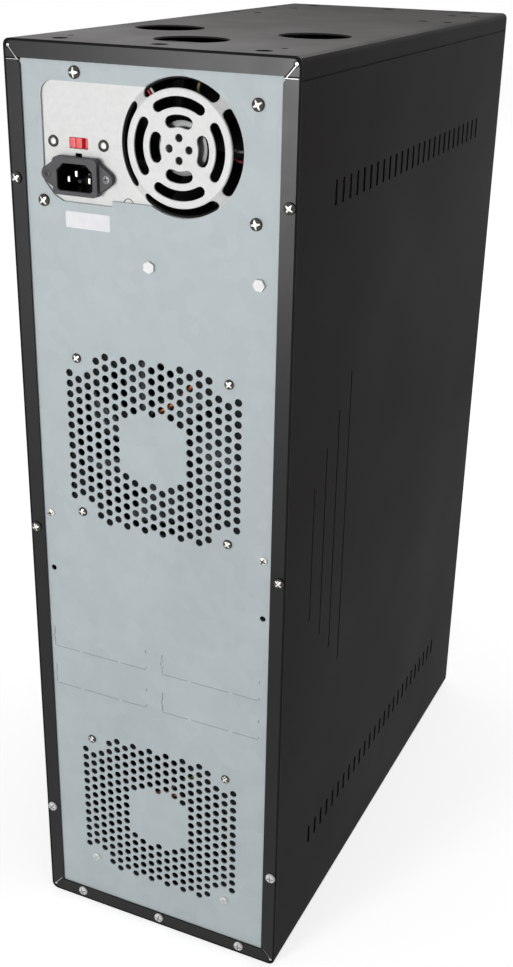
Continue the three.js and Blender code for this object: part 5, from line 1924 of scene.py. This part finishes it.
@dataclass
class ControlUnit:
    """The top bay: fascia with a display window and four keys."""

    base: float = BAY_FIRST + DRIVES * BAY_PITCH
    height: float = 41.3
    bezel: Span = (-208.0, -203.7)
    display: tuple[float, Point] = (-21.0, (66.0, 17.0))
    keys: tuple[tuple[str, float], ...] = (("up", 24.0), ("down", 37.0), ("enter", 50.0), ("escape", 63.0))
    key: float = 9.0
    proud: float = 1.5

    def middle(self) -> float:
        """Returns the height of the unit's middle."""
        return self.base + self.height / 2

    def fascia(self) -> Mesh:
        """Draws the fascia with its window and the key holes.

        Returns:
            The fascia.
        """
        z = self.middle()
        x, (wide, tall) = self.display
        loops = [
            rounded(about(0, BEZEL[0]), about(z, BEZEL[1]), 1.0, 3),
            rounded(about(x, wide), about(z, tall), 0.8, 3),
            *[rounded(about(at, self.key + 0.6), about(z, self.key + 0.6), 1.0, 3) for _, at in self.keys],
        ]
        bm = slab(loops, self.bezel)
        return soften(bm, 0.5, 2, before(self.bezel[0] + 0.01))

    def display_pane(self) -> Mesh:
        """Draws the display's pane, set back in the window.

        Returns:
            The pane.
        """
        x, (wide, tall) = self.display
        loop = rounded(about(x, wide - 0.3), about(self.middle(), tall - 0.3), 0.8, 3)
        return soften(slab([loop], (-206.4, -203.9)), 0.2, 1)

    def cap(self, at: float) -> Mesh:
        """Draws one key: a cap with round edges, and the flange behind it.

        Args:
            at: The X of its middle.

        Returns:
            The key.
        """
        z, front, back = self.middle(), self.bezel[0] - self.proud, self.bezel[1] + 1.3
        body = slab([rounded(about(at, self.key), about(z, self.key), 1.2, 4)], (front, back))
        body = soften(body, 0.6, 3, before(front + 0.01))
        flange = block(about(at, self.key + 2), (self.bezel[1] + 0.3, back), about(z, self.key + 2))
        return combined(body, flange, "UNION")

    def mark(self, name: str, at: float) -> Mesh:
        """Draws a key's printed mark: a triangle up or down, a ring for enter, a bar for escape.

        Args:
            name: The key's name.
            at: The X of its middle.

        Returns:
            The mark.
        """
        z = self.middle()
        front = self.bezel[0] - self.proud
        skin = (front - 0.04, front + 0.2)
        if name in ("up", "down"):
            turn = pi / 2 if name == "up" else -pi / 2
            return slab([circle((at, z), 2.0, 3, turn)], skin)
        if name == "enter":
            return slab([circle((at, z), 2.0, 20), circle((at, z), 1.4, 20)], skin)
        return slab([rounded(about(at, 3.6), about(z, 0.8), 0.3, 2)], skin)

    def build(self) -> None:
        """Builds the fascia, the display and the keys."""
        fascia, node_name = self.fascia(), ("controller_fascia",)
        piece("control_fascia", fascia, Finishes.bezel, stands_for=node_name)
        piece("display_glass", self.display_pane(), Finishes.pane)
        for name, at in self.keys:
            body = f"key_{name}"
            piece(f"{body}_cap", self.cap(at), Finishes.tray, body, (body,))
            piece(f"{body}_mark", self.mark(name, at), Finishes.ink, body)
        dress(("controller_board", "display_board"), Finishes.board)
        dress(("controller_tray",), Finishes.bright)


@dataclass
class FrontPanel:
    """The plate round the drives: bay window, air slots, and the rocker switch in its cut-out."""

    skin: Span = (-204.7, -203.7)
    half: float = 91.7
    low: float = 1.3
    high: float = 615.7
    window: tuple[Span, Span] = ((-74.6, 74.6), (130.9, 599.7))
    slot_x: float = -22.0
    slot_z: float = 68.0
    slot_count: int = 9
    slot_pitch: float = 9.0
    slot: Point = (4.0, 70.0)
    switch: Point = (48.0, 68.0)
    switch_front: float = -207.0
    pivot_y: float = -204.2

    def plate(self) -> Mesh:
        """Draws the plate with its lip and its foot.

        Returns:
            The plate.
        """
        first = self.slot_x - (self.slot_count - 1) / 2 * self.slot_pitch
        wide, tall = self.slot
        slots = [
            rounded(about(first + i * self.slot_pitch, wide), about(self.slot_z, tall), 1.9, 4)
            for i in range(self.slot_count)
        ]
        hole = rounded(about(self.switch[0], 13.6), about(self.switch[1], 20.0), 0.8, 3)
        outer = rounded((-self.half, self.half), (self.low, self.high), 2.7, 4)
        bm = slab([outer, rounded(*self.window, 0.6, 2), hole, *slots], self.skin)
        lip = block((-89, 89), (self.skin[1], self.skin[0] + 25), (self.high - SHEET, self.high))
        foot = block((-73, 73), (self.skin[1], self.skin[0] + 12), (self.low, self.low + SHEET))
        return merged(bm, lip, foot)

    def housing(self) -> Mesh:
        """Draws the switch's housing.

        Returns:
            The housing.
        """
        (x, z), front = self.switch, self.switch_front
        flange = slab([rounded(about(x, 15), about(z, 21), 1.6, 4)], (front, front + 2))
        flange = soften(flange, 0.6, 3, before(front + 0.01))
        body = block(about(x, 13), (front + 1.5, front + 15), about(z, 19.4))
        room = block(about(x, 10), (front - 2, self.pivot_y + 8.7), about(z, 18.0))
        return combined(combined(flange, body, "UNION"), room)

    def rocker(self) -> Mesh:
        """Draws the rocker in its off tilt, with its finger dip.

        Returns:
            The rocker.
        """
        face = [(-4.4, -7.5), (-3.6, -4.2), (-2.9, 0.0), (-3.6, 4.2), (-4.4, 7.5)]
        belly = [(0, 7.5), (2.6, 0), (0, -7.5)]
        bm = soften(slab([face + belly], (-4.7, 4.7), Facing.SIDE), 0.4, 2)
        bm.transform(self.tilt())
        return bm

    def marks(self) -> Mesh:
        """Prints a bar and a ring on the rocker's two ends, a hair above its curved face.

        Returns:
            The marks.
        """
        bar = slab([rounded((-0.4, 0.4), (3.4, 6.0), 0.2, 2)], (-4.2, -3.0))
        ring = slab([circle((0, -4.8), 1.5, 20), circle((0, -4.8), 0.9, 20)], (-4.2, -3.0))
        for part in (bar, ring):
            for vert in part.verts:
                depth = 2.95 + abs(vert.co.z) * 0.193
                vert.co.y = -depth - (0.05 if vert.co.y < -3.5 else -0.25)
        both = merged(bar, ring)
        both.transform(self.tilt())
        return both

    def tilt(self) -> Matrix:
        """Returns the rocker's turn and place."""
        x, z = self.switch
        return shift(x, self.pivot_y, z) @ Matrix.Rotation(radians(10), 4, "X")

    def build(self) -> None:
        """Builds the plate and the switch."""
        black, rocker, housing = "black_powder_coat", "power_rocker", ("power_switch_housing",)
        piece("front_plate", self.plate(), Finishes.powder, stands_for=("front_panel",))
        piece("switch_housing", self.housing(), Finishes.inlet, stands_for=housing)
        piece("switch_rocker", self.rocker(), Finishes.inlet, rocker, (rocker,))
        piece("switch_marks", self.marks(), Finishes.ink, rocker)


@dataclass
class FlangeScrews:
    """The screws through the flanges at the rear, and the same at the front."""

    side_x: float = 88.5
    side_z: tuple[float, ...] = (77.4, 307.8, 538.2)
    base_x: tuple[float, ...] = (-65.0, 0.0, 65.0)
    base_z: float = 6.6

    def build(self) -> None:
        """Builds both sets."""
        low, *high = ([(side * self.side_x, z) for side in (1, -1)] for z in self.side_z)
        # The screws are alike; their two tones are painted reflection: the upper ones dark with bright
        # crosses, the lower ones pale.
        sets = {
            "dark": (high[0] + high[1], (Finishes.dome, Finishes.nickel)),
            "bright": (low + [(x, self.base_z) for x in self.base_x], (Finishes.bright, Finishes.phosphate)),
        }
        spin = random.Random(3)
        screw = PanScrew(3.5, 2.1, 1.0, 0.75)
        for tone, (places, finishes) in sets.items():
            turns = [spin.uniform(0, 90) for _ in places]
            screw.build(f"rear_{tone}_screws", places, REAR, turns, finishes)
            screw.build(f"front_{tone}_screws", places, FRONT, turns, finishes, back=True)


@dataclass
class Wiring:
    """The loom to the case fans, as separate wires in a bundle, and the ribbon to the drives."""

    trunk: Point = (-68.0, 40.0)
    bundle: float = 2.7
    exit_z: float = 533.0
    psu_front: float = 63.1
    fans: tuple[float, float] = (378.4, 95.3)
    lead_end: tuple[float, float] = (-50.0, 178.0)
    rise: float = 40.0
    low: float = 62.0

    def build(self) -> None:
        """Builds the loom's wires and dresses the ribbon."""
        x, y = self.trunk
        colours = ("orange", "red", "yellow", "green", "black", "white")
        for i, colour in enumerate(colours):
            turn = 2 * pi * i / len(colours)
            dx, dz = self.bundle * cos(turn), self.bundle * sin(turn)
            points = [
                Vector((x + dx, self.psu_front - 0.3, self.exit_z + dz)),
                Vector((x + dx, self.psu_front - 6, self.exit_z + dz)),
                Vector((x + dx, y + 6 + dz, self.exit_z - 8)), Vector((x + dx, y + dz, self.exit_z - 26)),
                Vector((x - dz, y + dx, self.fans[0] + 20)), Vector((x - dx, y - dz, self.fans[1] + 120)),
                Vector((x + dz, y - dx, self.low)),
            ]
            name, loom = f"loom_wire_{colour}", ("fan_loom",) if i == 0 else ()
            piece(name, tube(points, 1.5), Finishes.wires[colour], stands_for=loom)
        for i, z in enumerate(self.fans):
            for k, colour in enumerate(("orange", "black")):
                top, (end_x, end_y) = z + self.rise + (k - 0.5) * 1.9, self.lead_end
                points = [
                    Vector((x + 1, y + 2, top - 5)), Vector((x + 2, y + 60, top - 8)),
                    Vector((end_x - 3, end_y - 20, top - 2)), Vector((end_x, end_y, top)),
                ]
                lead = tube(points, 0.9)
                piece(f"fan_lead_{i + 1}_{colour}", lead, Finishes.wires[colour])
        dress(("drive_harness",), Finishes.ribbon)


@dataclass
class Studio:
    """The pale floor, the world, the lamps and the camera at the photograph's view."""

    # The rays that see the white background: the eye, and what metal and glass show.
    seen_by: ClassVar[tuple[str, ...]] = ("Is Camera Ray", "Is Glossy Ray", "Is Transmission Ray")

    camera_mm: Triple = (-359.87, 840.88, 681.68)
    azimuth: float = 155.598
    elevation: float = 23.971
    roll: float = 1.149
    focal_px: float = 1271.19
    frame_px: tuple[int, int] = (513, 967)
    sensor: float = 36.0
    fill: float = 0.3
    floor_glow: float = 0.66
    lamps: tuple[tuple[str, Point, float, float, float], ...] = (
        ("rear_softbox", (162.0, 2.0), 2.5, 0.6, 26.0), ("front_softbox", (-25.0, 30.0), 3.0, 2.4, 16.0),
    )

    def camera(self) -> None:
        """Sets the camera at the photograph's place, turn and focal length."""
        az, el, roll = (radians(a) for a in (self.azimuth, self.elevation, self.roll))
        ahead = Vector((sin(az) * cos(el), cos(az) * cos(el), -sin(el)))
        level = ahead.cross(Vector((0, 0, 1))).normalized()
        up = level.cross(ahead)
        right = cos(roll) * level + sin(roll) * up
        up = -sin(roll) * level + cos(roll) * up
        data = bpy.data.cameras.new("photo_camera")
        data.sensor_width = self.sensor
        data.lens = self.sensor * self.focal_px / max(self.frame_px)
        data.clip_start, data.clip_end = 0.02, 30
        made = bpy.data.objects.new("photo_camera", data)
        turn = Matrix((right, up, -ahead)).transposed().to_4x4()
        made.matrix_world = Matrix.Translation(Vector(self.camera_mm) * MM) @ turn
        bpy.context.scene.collection.objects.link(made)
        bpy.context.scene.camera = made

    def background_rays(self, tree: Tree) -> Socket:
        """Marks the rays that see the white background.

        Args:
            tree: The node tree of the world or of the floor's material.

        Returns:
            A socket that is 1 for those rays and 0 for all others.
        """
        rays = node(tree, "ShaderNodeLightPath")
        first, *others = (rays.outputs[name] for name in self.seen_by)
        for other in others:
            first = node(tree, "ShaderNodeMath", {"operation": "MAXIMUM"}, {0: first, 1: other}).outputs[0]
        return first

    def world(self) -> None:
        """Lights the scene evenly, and shows a white backdrop to the camera, to metal and through glass."""
        made = bpy.data.worlds.new("studio")
        made.use_nodes = True
        tree = made.node_tree
        back = tree.nodes["Background"]
        back.inputs["Color"].default_value = (1, 1, 1, 1)
        span = {"Value": self.background_rays(tree), "To Min": self.fill, "To Max": 1.0}
        level = node(tree, "ShaderNodeMapRange", inputs=span)
        tree.links.new(level.outputs["Result"], back.inputs["Strength"])
        bpy.context.scene.world = made

    def floor(self) -> None:
        """Lays a pale floor that shows white to the camera but keeps the shadow."""
        bm = bmesh.new()
        bmesh.ops.create_grid(bm, x_segments=1, y_segments=1, size=6.0)
        mesh = bpy.data.meshes.new("studio_floor")
        bm.to_mesh(mesh)
        bm.free()
        made = bpy.data.objects.new("studio_floor", mesh)
        material = bpy.data.materials.new("matt_paper_backdrop")
        material.use_nodes = True
        tree = material.node_tree
        shader = tree.nodes["Principled BSDF"]
        shader.inputs["Base Color"].default_value = linear("f4f4f4")
        shader.inputs["Roughness"].default_value = 0.9
        shares = {0: self.background_rays(tree), 1: self.floor_glow}
        glow = node(tree, "ShaderNodeMath", {"operation": "MULTIPLY"}, shares)
        shader.inputs["Emission Color"].default_value = (1, 1, 1, 1)
        tree.links.new(glow.outputs[0], shader.inputs["Emission Strength"])
        mesh.materials.append(material)
        bpy.context.scene.collection.objects.link(made)

    def lights(self) -> None:
        """Hangs the soft boxes, each at a bearing and a height about the tower, turned to its middle."""
        target = Vector((0, 0, 0.32))
        for name, (bearing, rise), distance, size, power in self.lamps:
            az, el = radians(bearing), radians(rise)
            away = Vector((sin(az) * cos(el), -cos(az) * cos(el), sin(el)))
            data = bpy.data.lights.new(name, "AREA")
            data.shape, data.size, data.energy = "SQUARE", size, power
            made = bpy.data.objects.new(name, data)
            made.location = target + away * distance
            made.rotation_euler = (-away).to_track_quat("-Z", "Y").to_euler()
            bpy.context.scene.collection.objects.link(made)

    def build(self) -> None:
        """Sets up the studio."""
        self.camera()
        self.world()
        self.floor()
        self.lights()
        bpy.context.scene.view_settings.view_transform = "Standard"


def main() -> None:
    """Builds the pieces in order."""
    logging.basicConfig(level=logging.INFO, format="%(message)s")
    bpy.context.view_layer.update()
    upper_leads = {
        "orange": [(-1.5, 22.5), (-4.4, 26.1), (-10.6, 30.4), (-17.2, 36.6), (-23.9, 43.8), (-32, 53)],
        "black": [(2, 22), (0.5, 28.5), (-8.5, 35.0), (-15.5, 42.0), (-30, 55)],
    }
    lower_leads = {
        "orange": [(3.5, 19.8), (-1.5, 22.0), (-9.0, 23.0), (-17.0, 19.5)],
        "olive": [(-4, 20.5), (-11.9, 31.3), (-17.3, 37.4), (-23.7, 41.1), (-33, 52)],
    }
    case_fan = {"x": 0, "y": 203.4, "size": 120, "bore": 57, "hub": 20, "screw_span": 105}
    for assembly in (
        Studio(), OuterShell(), TopCover(), RearPanel(), PowerSupply(),
        Fan("upper_fan", z=378.4, leads=upper_leads, blade_finish=Finishes.dusty, **case_fan),
        Fan("lower_fan", z=95.3, leads=lower_leads, **case_fan),
        Fan("psu_fan", -21.2, 202.1, 564.0, 80, 37.5, 15, 71.5, 4.0),
        DriveStack(), ControlUnit(), FrontPanel(), FlangeScrews(), Wiring(),
    ):
        assembly.build()
    dress(("cage_left", "cage_right"), Finishes.zinc)


if __name__ == "__main__":
    main()
